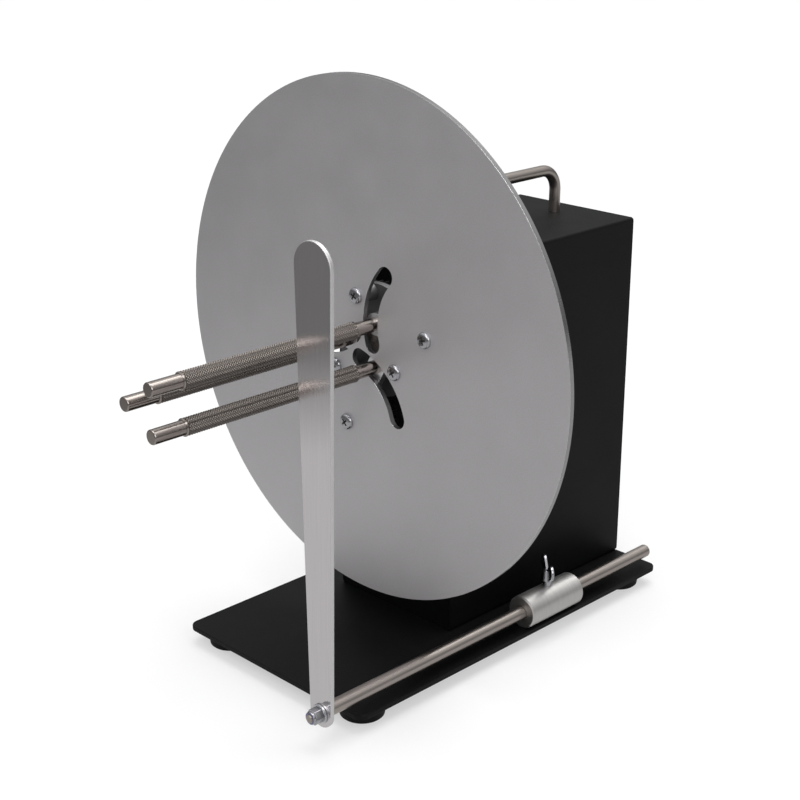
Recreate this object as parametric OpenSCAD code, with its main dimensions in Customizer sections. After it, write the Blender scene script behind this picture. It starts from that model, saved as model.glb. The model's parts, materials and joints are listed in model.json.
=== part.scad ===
// Label rewinder: a motor turns a winding disc with three swinging core posts.
// A folded sheet housing on a flat base plate carries the spindle, and a guide arm
// on a sliding rod keeps the front edge of the roll straight.
// Millimetres. X runs across, Y from front to back and Z up.
// The origin lies on the table, in the middle of the footprint.

/* [Winding disc] */
// Diameter of the winding disc
disc_d = 300; // [280:1:330]
// Thickness of the winding disc
disc_t = 3; // [2:0.5:5]
// Height of the spindle above the base plate
axis_h = 176; // [170:1:210]

/* [Core posts] */
// Reach of the post tips in front of the disc
post_reach = 151.5; // [120:0.5:200]
// Diameter over the knurl of a post
post_d = 9.8; // [8.6:0.1:11]
// Diameter of the smooth tip of a post
tip_d = 8.1; // [5:0.1:8.4]
// Length of the smooth tip of a post
tip_len = 19.5; // [10:0.5:40]
// Diameter of the smooth root of a post, which runs in the slot
root_d = 8; // [7:0.1:8.4]
// Length of the root in front of the disc
root_len = 9; // [6:1:20]

/* [Swing arms] */
// Distance of the arm pivots from the spindle
pivot_r = 51; // [48:0.5:58]
// Direction of the first pivot, in degrees from the X axis
pivot_turn = 15.5; // [0:0.5:40]
// Distance of a fully closed post from the spindle
closed_r = 8.7; // [8:0.1:12]
// Swing of the arms at rest, in degrees from fully closed
rest_swing = 14; // [5:1:30]
// Swing of the arms from fully closed to fully open, in degrees
open_swing = 59; // [40:1:62]
// Width of the curved slots in the disc
slot_w = 11.4; // [10:0.1:12.5]
// Width of a swing arm
arm_w = 13; // [11:0.5:13.5]
// Thickness of a swing arm
arm_t = 4; // [3:0.5:5]
// Diameter of a pivot pin
pivot_d = 8; // [7:0.5:9]

/* [Hub and sync gears] */
// Diameter of the hub flange
hub_flange_d = 66; // [64:1:74]
// Thickness of the hub flange
hub_flange_t = 4; // [3:0.5:6]
// Gap between the disc and the hub flange
hub_gap = 9; // [7.5:0.5:14]
// Diameter of the hub boss
hub_boss_d = 26; // [24:1:32]
// Length of the hub boss behind the flange
hub_boss_len = 12.5; // [12.5:0.5:20]
// Distance of the hub screws from the spindle
hub_ring_r = 28; // [26:0.5:28]
// Direction of the first hub screw, in degrees from the X axis
hub_screw_turn = 98.5; // [90:0.5:105]
// Teeth of the sync gear on the hub
sync_teeth = 42; // [36:3:48]
// Teeth of the gear on each swing arm
arm_teeth = 26; // [22:1:30]
// Thickness of the gears
gear_t = 4; // [3:0.5:5]

/* [Base and feet] */
// Width of the base plate
base_w = 150; // [145:1:190]
// Depth of the base plate
base_d = 264; // [262:1:320]
// Reach of the base plate in front of the disc
base_lead = 74; // [50:1:76]
// Thickness of the base plate
base_t = 3; // [2:0.5:5]
// Corner radius of the base plate
base_corner = 6; // [2:0.5:15]
// Diameter of a rubber foot at its top
foot_d = 28; // [18:0.5:30]
// Height of a rubber foot
foot_h = 9; // [7:0.5:14]
// Distance of a foot's centre from the plate edges
foot_inset = 18; // [16:0.5:22]

/* [Housing] */
// Width of the cover
cover_w = 93.5; // [86:0.5:100]
// Distance of the cover's right side from the spindle
cover_right = 42.25; // [41:0.25:46]
// Height of the cover's top above the spindle
cover_over = 48; // [44:1:70]
// Thickness of the cover sheet
cover_t = 1.5; // [1:0.25:2.5]
// Inside radius of the cover's bends
cover_bend = 0.5; // [0.25:0.25:4]
// Width of the lips folded in under the cover
lip_w = 14; // [11:0.5:18]
// Thickness of the front and rear panels
panel_t = 2.5; // [2:0.25:3.5]
// Depth of the foot folded under each panel
panel_foot = 16; // [12:0.5:20]

/* [Carry handle] */
// Diameter of the handle bar
handle_d = 7; // [6.5:0.1:10]
// Distance between the handle's legs
handle_span = 120; // [90:1:130]
// Height of the bar's axis above the cover
handle_rise = 26.5; // [25:0.5:45]
// Radius of the handle's bends, at the bar's axis
handle_bend = 13; // [8:0.5:18]

/* [Guide] */
// Diameter of the guide rod
rod_d = 8; // [7:0.5:10]
// Distance of the rod's axis from the edge of the base plate
rod_inset = 7; // [5:0.1:8]
// Height of the rod's axis above the base plate
rod_h = 9.7; // [9.5:0.1:9.9]
// Reach of the rod's rear end behind the disc
rod_rear = 186; // [150:1:200]
// Distance of the guide arm's front face from the disc
guide_front = 96.5; // [92:0.5:130]
// Thickness of the guide arm
guide_t = 2.5; // [2:0.5:5]
// Height of the guide arm, from its pivot to the centre of its rounded top
guide_h = 242; // [200:1:260]
// Width of the guide arm's rounded top
guide_top_w = 26.5; // [20:0.5:30]
// Width of the guide arm's rounded foot
guide_foot_w = 16.2; // [15:0.1:18.5]
// Diameter of the threaded stud at the rod's front end
stud_d = 5; // [4:0.5:6.5]

/* [Rod clamp] */
// Diameter of the clamp
clamp_d = 20; // [20:0.5:24]
// Length of the clamp
clamp_len = 46.5; // [40:0.5:70]
// Distance of the clamp's front end behind the disc
clamp_y = 64; // [50:1:80]
// Diameter of the wing screw's thread
wing_d = 5; // [4:0.5:6]
// Span of the wings
wing_span = 26; // [20:0.2:28]
// Height of the wings' tops above the clamp
wing_h = 16.5; // [16:0.5:24]
// Direction of the wings at rest, in degrees from the X axis
wing_turn = -36; // [-90:1:90]

/* [Spindle and bearings] */
// Diameter of the spindle
shaft_d = 15; // [12:0.5:15]
// Outside diameter of a ball bearing
bearing_d = 35; // [35:0.5:37]
// Width of a ball bearing
bearing_w = 11; // [9:0.5:13]
// Diameter of a bearing ball
ball_d = 5.9; // [5:0.1:6.2]
// Balls in each bearing
ball_count = 8; // [6:1:9]
// Length of the bearing block
block_len = 36; // [34:1:40]
// Outside diameter of the bearing block's flange
block_flange_d = 62; // [61:0.5:63]

/* [Drive] */
// Diameter of the shaft coupling
coupling_d = 26; // [24:1:32]
// Length of the shaft coupling
coupling_len = 22; // [20:1:26]
// Diameter of the gearbox
gearbox_d = 37; // [36:0.5:44]
// Length of the gearbox
gearbox_len = 24; // [16:1:28]
// Diameter of the motor
motor_d = 33; // [26:0.5:36]
// Length of the motor
motor_len = 44; // [34:1:46]
// Diameter of the motor shaft
motor_shaft_d = 6; // [5:0.5:8]
// Width of the motor plate
plate_w = 64; // [62:1:72]
// Thickness of the motor plate
plate_t = 4; // [3:0.5:6]
// Distance between the motor pillars' axes
pillar_pitch = 52; // [51:0.5:54]
// Diameter of a motor pillar
pillar_d = 8; // [7:0.5:9]

/* [Electrics] */
// Width of the control board
board_w = 56; // [50:1:62]
// Length of the control board
board_len = 84; // [76:1:100]
// Thickness of the control board
board_t = 1.6; // [1:0.2:2.4]
// Height of the control board above the base plate
board_h = 8; // [6:0.5:14]
// Height of the power inlet above the base plate
inlet_h = 40; // [30:1:48]
// Height of the rocker switch above the base plate
switch_h = 82; // [70:1:90]
// Height of the torque dial above the base plate
dial_h = 120; // [112:1:130]
// Diameter of the torque knob
knob_d = 22; // [18:0.5:30]
// Reach of the torque knob behind the rear panel
knob_reach = 19; // [16:0.5:26]
// Diameter over a wire lead
lead_d = 1.6; // [1:0.1:2.4]

/* [Fasteners] */
// Thread diameter of the disc screws
screw_d = 5; // [4:0.5:6]
// Head diameter of the disc screws
screw_head_d = 9.4; // [8.5:0.1:11]
// Head height of the disc screws
screw_head_h = 2.6; // [2:0.1:3.5]
// Thread diameter of the frame bolts and base screws
bolt_d = 4; // [3:0.5:4.5]
// Head diameter of the frame bolts and base screws
bolt_head_d = 7.6; // [6.5:0.1:8.5]
// Head height of the frame bolts and base screws
bolt_head_h = 2.4; // [1.8:0.1:3]

/* [Hidden] */
$fn = 64;

// Clearances: running fits, fixed fits, gaps between turning pieces, cutters past a face
run_fit = 0.05;
fix_fit = 0.02;
turn_gap = 0.4;
past = 1;

// Finishes
powder_black = [0.12, 0.12, 0.13];
rubber_black = [0.07, 0.07, 0.07];
plastic_black = [0.1, 0.1, 0.1];
satin_aluminium = [0.72, 0.72, 0.74];
turned_aluminium = [0.78, 0.78, 0.79];
stainless = [0.55, 0.52, 0.5];
zinc_steel = [0.76, 0.77, 0.8];
gear_steel = [0.24, 0.24, 0.25];
brass = [0.78, 0.62, 0.3];
board_green = [0.08, 0.3, 0.17];
lead_red = [0.6, 0.1, 0.08];
nylon_white = [0.85, 0.85, 0.82];
sleeve_blue = [0.1, 0.12, 0.3];
terminal_green = [0.1, 0.4, 0.25];

// Main levels and stations: z from the spindle, depth y from the front of the disc
base_z = -axis_h;
under_z = base_z - base_t;
table_z = under_z - foot_h;
cover_z = cover_over;
cover_h = axis_h + cover_over;
front_y = -base_lead;
rear_y = base_d - base_lead;
y_shift = (post_reach - rear_y - knob_reach) / 2;

// Depths of the swing arms, hub and gears behind the front of the disc
arm_front = disc_t + turn_gap;
arm_back = arm_front + arm_t;
hub_front = disc_t + hub_gap;
flange_back = hub_front + hub_flange_t;
gear_front = flange_back + turn_gap;
gear_back = gear_front + gear_t;
pin_back = gear_back + turn_gap;
pin_head_t = 2;
pin_head_d = pivot_d + 4;
clip_t = 1.2;
clip_depth = 0.8;
hub_back = flange_back + hub_boss_len;
hub_set_depth = hub_back - 3;
arm_len = pivot_r - closed_r;
arm_waist = arm_w - 0.2;
slot_run_w = slot_w - 0.1;
sleeve_d = pivot_d + 4;
gear_seat_d = pivot_d + 2.4;
rivet_d = root_d - 2;
rivet_head_t = 1;
screw_grip = 10;

// Gear proportions: standard involute teeth at a pressure angle of 20 degrees
gear_module = 2 * pivot_r / (sync_teeth + arm_teeth);
pressure = 20;
gear_slack = 0.3;

// Housing stations
cover_front = hub_back + 1.5;
panel_gap = 0.2;
panel_in = cover_front + panel_t;
rear_in = rear_y - panel_t;
house_mid = (cover_front + rear_y) / 2;
cover_x = cover_right - cover_w / 2;
tab_w = cover_w - 2 * lip_w - 1;

// Bearing block and spindle stations
block_front = panel_in;
block_back = block_front + block_len;
block_flange_t = 6;
block_wall = 4.5;
block_bolt_r = (bearing_d / 2 + block_wall + block_flange_d / 2) / 2;
seat_recess = 1;
bearing_1 = block_front + seat_recess;
bearing_2 = block_back - seat_recess - bearing_w;
ball_pitch_d = (bearing_d + shaft_d) / 2;
ring_gap = 3.2;
shoulder_d = shaft_d + 4;
shaft_hole_d = shoulder_d + 2;
coupling_front = block_back + 4;
coupling_mid = coupling_front + coupling_len / 2;
coupling_back = coupling_front + coupling_len;
shaft_end_gap = 0.5;

// Motor stations
plate_front = coupling_back + 3;
plate_back = plate_front + plate_t;
nose_d = motor_shaft_d * 2;
motor_front = plate_back + gearbox_len;
motor_back = motor_front + motor_len;
gearbox_bolt_d = 3;
gearbox_bolt_r = gearbox_d / 2 - 3;
shaft_in_gearbox = 10;
tab_len = 4;
tab_x = 7;
tab_clear = (rear_in - motor_back - tab_len) / 2;

// Base plate holes, as places on the plate
foot_places = [
    for (x = [-1, 1], y = [front_y + foot_inset, rear_y - foot_inset])
        [x * (base_w / 2 - foot_inset), y]
];
panel_screw_places = [
    for (x = [-1, 1], y = [cover_front + panel_foot - 5, rear_y - panel_foot + 5])
        [cover_x + x * tab_w / 4, y]
];
lip_x = cover_w / 2 - lip_w / 2;
lip_screw_places = [
    for (x = [-1, 1], y = [-1, 1])
        [cover_x + x * lip_x, house_mid + y * (rear_y - cover_front) / 4]
];
base_screw_places = concat(panel_screw_places, lip_screw_places);
foot_recess = bolt_head_h + 1.6;

// Rod, guide and clamp
rod_x = base_w / 2 - rod_inset;
rod_z = base_z + rod_h;
guide_play = 0.1;
guide_back = -guide_front + guide_t;
washer_t = 1.2;
washer_d = 2 * stud_d + 1;
nut_w = 1.6 * stud_d;
nut_hex_h = 5;
nut_collar_h = 1.3;
washer_y = -guide_front - guide_play - washer_t;
nut_y = washer_y - nut_hex_h - nut_collar_h;
stud_end_y = nut_y - 0.8;
clamp_mid = clamp_y + clamp_len / 2;
clamp_top = rod_z + clamp_d / 2;
clamp_screw_in = 10;
clamp_screw_places = [
    [rod_x, clamp_y + clamp_screw_in],
    [rod_x, clamp_y + clamp_len - clamp_screw_in]
];
clamp_thread = rod_h - rod_d / 2 - run_fit - 0.6;
pad_h = 2.6;
pad_z = rod_z + rod_d / 2 + run_fit;
wing_stem = 3.5;
wing_hub_d = wing_d + 3;
wing_hub_h = 7;
wing_t = 2;
ear_r = 4.6;

// Control board and its parts
board_z = base_z + board_h;
board_top = board_z + board_t;
board_hole_in = 4;
board_places = [
    for (x = [-1, 1], y = [-1, 1])
        [x * (board_w / 2 - board_hole_in), house_mid + y * (board_len / 2 - board_hole_in)]
];
board_pin_d = 3;
sink_w = 36;
sink_d = 14;
sink_h = 28;
sink_t = 4;
sink_inset = 14;
fin_t = 2;
can_d = 13;
can_h = 21;
terminal_size = [15, 8, 10];
terminal_inset = 16;
terminal_y = house_mid + board_len / 2 - terminal_inset;
terminal_pitch = 17;
wire_pitch = 4;
terminal_top = board_top + terminal_size[2];

// Rear panel fittings
inlet_d = 11;
inlet_depth = 14;
switch_hole = [13, 19];
switch_bezel = [16, 22];
bezel_t = 2;
switch_depth = 13;
rocker_w = 10;
rocker_tilt = 12;
rocker_pin_d = 2;
dial_d = 16;
dial_depth = 9;
dial_bush_d = 8;
dial_bush_len = 5;
dial_shaft_d = 6;
dial_nut_t = 2;
handle_screw_d = handle_d - 3;
handle_leg = handle_rise - handle_bend;
handle_grip = handle_leg * 2 / 3;

function pivot_angle(i) = pivot_turn + 120 * i;
function arm_angle(i) = pivot_angle(i) + 180 - rest_swing;
function hub_screw_angle(i) = hub_screw_turn + 120 * i;

// Puts children in the part's frame, from the spindle's own place
module place() {
    translate([0, y_shift, -table_z]) children();
}

// The spindle's frame: x across, y up, z towards the front, with depths below zero
module face() {
    place() rotate([90, 0, 0]) children();
}

// Round bar about the spindle between two depths
module bar(d, from, to) {
    translate([0, 0, -to]) cylinder(h = to - from, d = d);
}

// Round tube about the spindle between two depths
module tube(d, bore, from, to) {
    difference() {
        bar(d, from, to);
        bar(bore, from - past, to + past);
    }
}

module polar(r, a) {
    translate([r * cos(a), r * sin(a), 0]) children();
}

module at_pivot(i) {
    polar(pivot_r, pivot_angle(i)) children();
}

module at_post(i) {
    at_pivot(i) polar(arm_len, arm_angle(i)) children();
}

// Outline in x and z, made solid between two depths
module slab(from, to) {
    translate([0, to, 0]) rotate([90, 0, 0]) linear_extrude(to - from) children();
}

// Rectangle with round corners, standing on the x axis
module round_rect(w, h, r) {
    translate([-w / 2, r]) square([w, h - 2 * r]);
    translate([-w / 2 + r, 0]) square([w - 2 * r, h]);
    for (x = [-1, 1], y = [r, h - r]) {
        translate([x * (w / 2 - r), y]) circle(r);
    }
}

// Screw with a low domed head above zero, a cross recess and a plain shank below
module pan_screw(d, head_d, head_h, length) {
    cross_w = head_d * 0.5;
    cross_t = head_d * 0.13;
    cross_h = head_h * 0.6;
    difference() {
        union() {
            rotate_extrude() polygon([
                [0, 0], [head_d / 2, 0], [head_d / 2, head_h * 0.4],
                [head_d / 2 - head_h * 0.35, head_h * 0.85], [head_d * 0.2, head_h], [0, head_h]
            ]);
            translate([0, 0, -length]) cylinder(h = length + head_h / 4, d = d);
        }
        for (a = [0, 90]) {
            rotate(a) translate([-cross_w / 2, -cross_t / 2, head_h - cross_h])
                cube([cross_w, cross_t, cross_h + past]);
        }
    }
}

module disc_screw(length) {
    pan_screw(screw_d, screw_head_d, screw_head_h, length);
}

module bolt(length) {
    pan_screw(bolt_d, bolt_head_d, bolt_head_h, length);
}

// Gear outlines: half the angle of a tooth at radius r, and the radii along a flank
function involute(a) = tan(a) * 180 / PI - a;
function half_tooth(n, r) =
    let (pitch = gear_module * n / 2, base = pitch * cos(pressure))
    90 / n - gear_slack / pitch * 90 / PI + involute(pressure) - involute(acos(min(1, base / r)));
function flank_radii(n) =
    let (pitch = gear_module * n / 2)
    [pitch - 1.25 * gear_module, pitch - 0.5 * gear_module, pitch, pitch + 0.5 * gear_module,
     pitch + gear_module];
function tooth_points(n, k) =
    let (radii = flank_radii(n), mid = 360 / n * k, last = len(radii) - 1)
    [
        for (j = [0:last]) let (a = mid - half_tooth(n, radii[j])) radii[j] * [cos(a), sin(a)],
        for (j = [last:-1:0]) let (a = mid + half_tooth(n, radii[j])) radii[j] * [cos(a), sin(a)]
    ];

module gear(n, bore) {
    difference() {
        translate([0, 0, -gear_back]) linear_extrude(gear_t)
            polygon([for (k = [0:n - 1]) each tooth_points(n, k)]);
        bar(bore, gear_front - past, gear_back + past);
    }
}

// Retaining ring in a groove, with its gap
module clip(d, from) {
    difference() {
        tube(d + 4, d - 2 * clip_depth + 2 * fix_fit, from, from + clip_t);
        translate([0, -1.5, -from - clip_t - past]) cube([d, 3, clip_t + 2 * past]);
    }
}

module clip_groove(d, from) {
    tube(d + 2, d - 2 * clip_depth, from, from + clip_t);
}

// Set screw with a hexagon socket, lying along x from one radius to another
module set_screw(d, from, to) {
    translate([from, 0, 0]) rotate([0, 90, 0]) difference() {
        cylinder(h = to - from, d = d);
        translate([0, 0, (to - from) / 2]) cylinder(h = to - from, d = d / 2, $fn = 6);
    }
}

// Wire lead: a tube swept along a curve that leaves a and reaches b in given directions
function curve(a, u, b, v, s) =
    a * pow(1 - s, 3) + 3 * (a + u) * s * pow(1 - s, 2) + 3 * (b + v) * s * s * (1 - s) + b * pow(s, 3);
function unit(v) = v / norm(v);
function heading(p, i) = unit(p[min(i + 1, len(p) - 1)] - p[max(i - 1, 0)]);
function lead_ring(c, t, sides) =
    let (side = unit([1, 0, 0] - t[0] * t), up = cross(t, side))
    [for (j = [0:sides - 1]) c + lead_d / 2 * (cos(360 / sides * j) * side + sin(360 / sides * j) * up)];

module lead(a, u, b, v) {
    sides = 8;
    steps = 10;
    path = [for (i = [0:steps]) curve(a, u, b, v, i / steps)];
    headings = [
        for (i = [0:steps]) i == 0 ? unit(u) : i == steps ? -unit(v) : heading(path, i)
    ];
    rings = [for (i = [0:steps]) each lead_ring(path[i], headings[i], sides)];
    walls = [
        for (i = [0:steps - 1], j = [0:sides - 1])
            let (a0 = i * sides + j, a1 = i * sides + (j + 1) % sides)
            each [[a0, a0 + sides, a1 + sides], [a0, a1 + sides, a1]]
    ];
    caps = [
        [for (j = [0:sides - 1]) j],
        [for (j = [sides - 1:-1:0]) steps * sides + j]
    ];
    polyhedron(points = rings, faces = concat(walls, caps));
}

module base_plate() {
    color(powder_black) place() difference() {
        translate([0, front_y, under_z]) linear_extrude(base_t) round_rect(base_w, base_d, base_corner);
        for (p = concat(foot_places, base_screw_places, clamp_screw_places)) {
            translate([p[0], p[1], under_z - past])
                cylinder(h = base_t + 2 * past, d = bolt_d + 2 * fix_fit);
        }
        for (p = board_places) {
            translate([p[0], p[1], under_z - past])
                cylinder(h = base_t + 2 * past, d = board_pin_d + 2 * fix_fit);
        }
    }
}

module feet() {
    color(rubber_black) place() for (p = foot_places) {
        translate([p[0], p[1], table_z]) difference() {
            cylinder(h = foot_h, d1 = foot_d - 3, d2 = foot_d);
            translate([0, 0, -past]) cylinder(h = foot_h + 2 * past, d = bolt_d + 2 * fix_fit);
            translate([0, 0, -past]) cylinder(h = foot_recess + past, d = bolt_head_d + 2);
        }
    }
}

module foot_screws() {
    color(zinc_steel) place() for (p = foot_places) {
        translate([p[0], p[1], table_z + foot_recess]) rotate([180, 0, 0])
            bolt(foot_h - foot_recess + base_t);
    }
}

module base_screws() {
    color(zinc_steel) place() for (p = base_screw_places) {
        translate([p[0], p[1], under_z]) rotate([180, 0, 0]) bolt(base_t + panel_t + 1);
    }
}

module cover() {
    color(powder_black) place() difference() {
        slab(cover_front, rear_y) translate([cover_x, base_z]) difference() {
            round_rect(cover_w, cover_h, cover_bend + cover_t);
            translate([0, cover_t])
                round_rect(cover_w - 2 * cover_t, cover_h - 2 * cover_t, cover_bend);
            translate([-cover_w / 2 + lip_w, -past])
                square([cover_w - 2 * lip_w, cover_t + 2 * past]);
        }
        for (p = lip_screw_places) {
            translate([p[0], p[1], base_z - past])
                cylinder(h = cover_t + 2 * past, d = bolt_d + 2 * fix_fit);
        }
        for (y = [-1, 1]) {
            translate([cover_x, house_mid + y * handle_span / 2, cover_z - cover_t - past])
                cylinder(h = cover_t + 2 * past, d = handle_screw_d + 2 * fix_fit);
        }
    }
}

// End plate inside the cover, from its outer face, with the tab that stands on the base plate
module end_plate(from) {
    slab(from, from + panel_t) {
        translate([cover_x, base_z + cover_t + panel_gap]) round_rect(
            cover_w - 2 * cover_t - 2 * panel_gap,
            cover_h - 2 * cover_t - 2 * panel_gap,
            cover_bend
        );
        translate([cover_x - tab_w / 2, base_z]) square([tab_w, 4 * cover_t]);
    }
}

module panel_screw_holes() {
    for (p = panel_screw_places) {
        translate([p[0], p[1], base_z - past])
            cylinder(h = panel_t + 2 * past, d = bolt_d + 2 * fix_fit);
    }
}

module front_panel() {
    color(powder_black) difference() {
        place() union() {
            end_plate(cover_front);
            translate([cover_x - tab_w / 2, cover_front, base_z]) cube([tab_w, panel_foot, panel_t]);
        }
        place() panel_screw_holes();
        face() bar(shaft_hole_d, cover_front - past, panel_in + past);
        face() at_block_bolts() bar(bolt_d + 2 * fix_fit, cover_front - past, panel_in + past);
        face() at_pillars() bar(bolt_d + 2 * fix_fit, cover_front - past, panel_in + past);
    }
}

module rear_panel() {
    color(powder_black) difference() {
        place() union() {
            end_plate(rear_in);
            translate([cover_x - tab_w / 2, rear_y - panel_foot, base_z])
                cube([tab_w, panel_foot, panel_t]);
        }
        place() panel_screw_holes();
        at_rear(inlet_h) hole_through_panel(inlet_d + 2 * fix_fit);
        at_rear(dial_h) hole_through_panel(dial_bush_d + 2 * fix_fit);
        at_rear(switch_h) centred_box(switch_hole + fix_fit * [2, 2], -panel_t - past, past);
    }
}

// A spot on the rear panel at a height above the base plate, with z pointing out to the rear
module at_rear(h) {
    place() translate([0, rear_y, base_z + h]) rotate([-90, 0, 0]) children();
}

module hole_through_panel(d) {
    translate([0, 0, -panel_t - past]) cylinder(h = panel_t + 2 * past, d = d);
}

module centred_box(size, from, to) {
    translate([-size[0] / 2, -size[1] / 2, from]) cube([size[0], size[1], to - from]);
}

module carry_handle() {
    color(stainless) place() translate([cover_x, house_mid, cover_z]) difference() {
        union() {
            for (turn = [0, 180]) {
                rotate(turn) {
                    translate([0, handle_span / 2, 0]) cylinder(h = handle_leg, d = handle_d);
                    translate([0, handle_span / 2 - handle_bend, handle_leg]) rotate([90, 0, 90])
                        rotate_extrude(angle = 90) translate([handle_bend, 0]) circle(d = handle_d);
                }
            }
            translate([0, handle_bend - handle_span / 2, handle_rise]) rotate([-90, 0, 0])
                cylinder(h = handle_span - 2 * handle_bend, d = handle_d);
        }
        for (y = [-1, 1]) {
            translate([0, y * handle_span / 2, -past])
                cylinder(h = handle_grip + 2 * past, d = handle_screw_d + 2 * fix_fit);
        }
    }
}

module handle_screws() {
    color(zinc_steel) place() for (y = [-1, 1]) {
        translate([cover_x, house_mid + y * handle_span / 2, cover_z - cover_t]) rotate([180, 0, 0])
            pan_screw(handle_screw_d, bolt_head_d, bolt_head_h, cover_t + handle_grip);
    }
}

module at_block_bolts() {
    for (a = [0:90:270]) {
        polar(block_bolt_r, a) children();
    }
}

module at_pillars() {
    for (x = [-1, 1], y = [-1, 1]) {
        translate([x * pillar_pitch / 2, y * pillar_pitch / 2, 0]) children();
    }
}

module bearing_block() {
    color(turned_aluminium) face() difference() {
        union() {
            bar(block_flange_d, block_front, block_front + block_flange_t);
            bar(bearing_d + 2 * block_wall, block_front, block_back);
        }
        bar(bearing_d - 5, block_front - past, block_back + past);
        bar(bearing_d + 2 * fix_fit, block_front - past, bearing_1 + bearing_w);
        bar(bearing_d + 2 * fix_fit, bearing_2, block_back + past);
        at_block_bolts()
            bar(bolt_d + 2 * fix_fit, block_front - past, block_front + block_flange_t + past);
    }
}

module frame_bolts() {
    color(zinc_steel) face() {
        at_block_bolts() translate([0, 0, -block_front - block_flange_t]) rotate([180, 0, 0])
            bolt(block_flange_t + panel_t - fix_fit);
        at_pillars() translate([0, 0, -cover_front]) bolt(panel_t + screw_grip - past);
        at_pillars() translate([0, 0, -plate_back]) rotate([180, 0, 0])
            bolt(plate_t + screw_grip - past);
    }
}

// Ball groove shared by both rings of a bearing
module ball_groove(from) {
    translate([0, 0, -from - bearing_w / 2]) rotate_extrude()
        translate([ball_pitch_d / 2, 0]) circle(d = ball_d + 2 * run_fit);
}

module bearing_outer_rings() {
    color(gear_steel) face() for (from = [bearing_1, bearing_2]) {
        difference() {
            tube(bearing_d, ball_pitch_d + ring_gap, from, from + bearing_w);
            ball_groove(from);
        }
    }
}

module bearing_inner_rings() {
    color(gear_steel) face() for (from = [bearing_1, bearing_2]) {
        difference() {
            tube(ball_pitch_d - ring_gap, shaft_d + 2 * fix_fit, from, from + bearing_w);
            ball_groove(from);
        }
    }
}

module bearing_balls() {
    color(zinc_steel) face() for (from = [bearing_1, bearing_2], k = [0:ball_count - 1]) {
        polar(ball_pitch_d / 2, 360 / ball_count * k) translate([0, 0, -from - bearing_w / 2])
            sphere(d = ball_d);
    }
}

module spindle_shaft() {
    color(stainless) face() difference() {
        union() {
            bar(shaft_d, hub_front, coupling_mid - shaft_end_gap);
            bar(shoulder_d, hub_back, bearing_1);
        }
        clip_groove(shaft_d, bearing_2 + bearing_w);
    }
}

module shaft_clips() {
    color(gear_steel) face() {
        clip(shaft_d, bearing_2 + bearing_w);
        clip(hub_boss_d, pin_back);
    }
}

module hub() {
    color(turned_aluminium) face() difference() {
        union() {
            bar(hub_flange_d, hub_front, flange_back);
            bar(hub_boss_d, hub_front, hub_back);
        }
        bar(shaft_d + 2 * fix_fit, hub_front - past, hub_back + past);
        clip_groove(hub_boss_d, pin_back);
        for (i = [0:2]) {
            polar(hub_ring_r, hub_screw_angle(i))
                bar(screw_d + 2 * fix_fit, hub_front - past, flange_back + past);
        }
        translate([0, 0, -hub_set_depth]) rotate([0, 90, 0])
            cylinder(h = hub_boss_d, d = bolt_d + 2 * fix_fit);
    }
}

module set_screws() {
    color(gear_steel) face() {
        translate([0, 0, -hub_set_depth]) set_screw(bolt_d, shaft_d / 2 + 0.1, hub_boss_d / 2);
        translate([0, 0, -coupling_set_depth(-1)])
            set_screw(bolt_d, shaft_d / 2 + 0.1, coupling_d / 2);
        translate([0, 0, -coupling_set_depth(1)])
            set_screw(bolt_d, motor_shaft_d / 2 + 0.1, coupling_d / 2);
    }
}

function coupling_set_depth(side) = coupling_mid + side * coupling_len / 4;

module coupling() {
    color(turned_aluminium) face() difference() {
        bar(coupling_d, coupling_front, coupling_back);
        bar(shaft_d + 2 * fix_fit, coupling_front - past, coupling_mid);
        bar(motor_shaft_d + 2 * fix_fit, coupling_mid - past, coupling_back + past);
        for (side = [-1, 1]) {
            translate([0, 0, -coupling_set_depth(side)]) rotate([0, 90, 0])
                cylinder(h = coupling_d, d = bolt_d + 2 * fix_fit);
        }
    }
}

module motor_shaft() {
    color(stainless) face()
        bar(motor_shaft_d, coupling_mid + shaft_end_gap, plate_back + shaft_in_gearbox);
}

module motor_plate() {
    color(zinc_steel) face() difference() {
        translate([-plate_w / 2, -plate_w / 2, -plate_back]) cube([plate_w, plate_w, plate_t]);
        bar(nose_d + 2 * fix_fit, plate_front - past, plate_back + past);
        at_pillars() bar(bolt_d + 2 * fix_fit, plate_front - past, plate_back + past);
        at_gearbox_bolts() bar(gearbox_bolt_d + 2 * fix_fit, plate_front - past, plate_back + past);
    }
}

module motor_pillars() {
    color(zinc_steel) face() at_pillars()
        tube(pillar_d, bolt_d + 2 * fix_fit, panel_in, plate_front);
}

module at_gearbox_bolts() {
    for (a = [45:90:315]) {
        polar(gearbox_bolt_r, a) children();
    }
}

module gearbox() {
    color(gear_steel) face() difference() {
        union() {
            bar(gearbox_d, plate_back, motor_front);
            bar(nose_d, plate_front, motor_front);
        }
        bar(motor_shaft_d + 2 * run_fit, plate_front - past, plate_back + shaft_in_gearbox + past);
        at_gearbox_bolts() bar(gearbox_bolt_d + 2 * fix_fit, plate_back - past, plate_back + 7);
    }
}

module gearbox_screws() {
    color(zinc_steel) face() at_gearbox_bolts() translate([0, 0, -plate_front])
        pan_screw(gearbox_bolt_d, 2 * gearbox_bolt_d - 0.5, gearbox_bolt_d * 0.7, plate_t + 6);
}

module motor() {
    color(zinc_steel) face() {
        bar(motor_d, motor_front, motor_back);
        bar(motor_d / 3, motor_front, motor_back + 2);
        for (x = [-1, 1]) {
            translate([x * tab_x - 1.4, -0.4, -motor_back - tab_len]) cube([2.8, 0.8, tab_len + past]);
        }
    }
}

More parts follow.
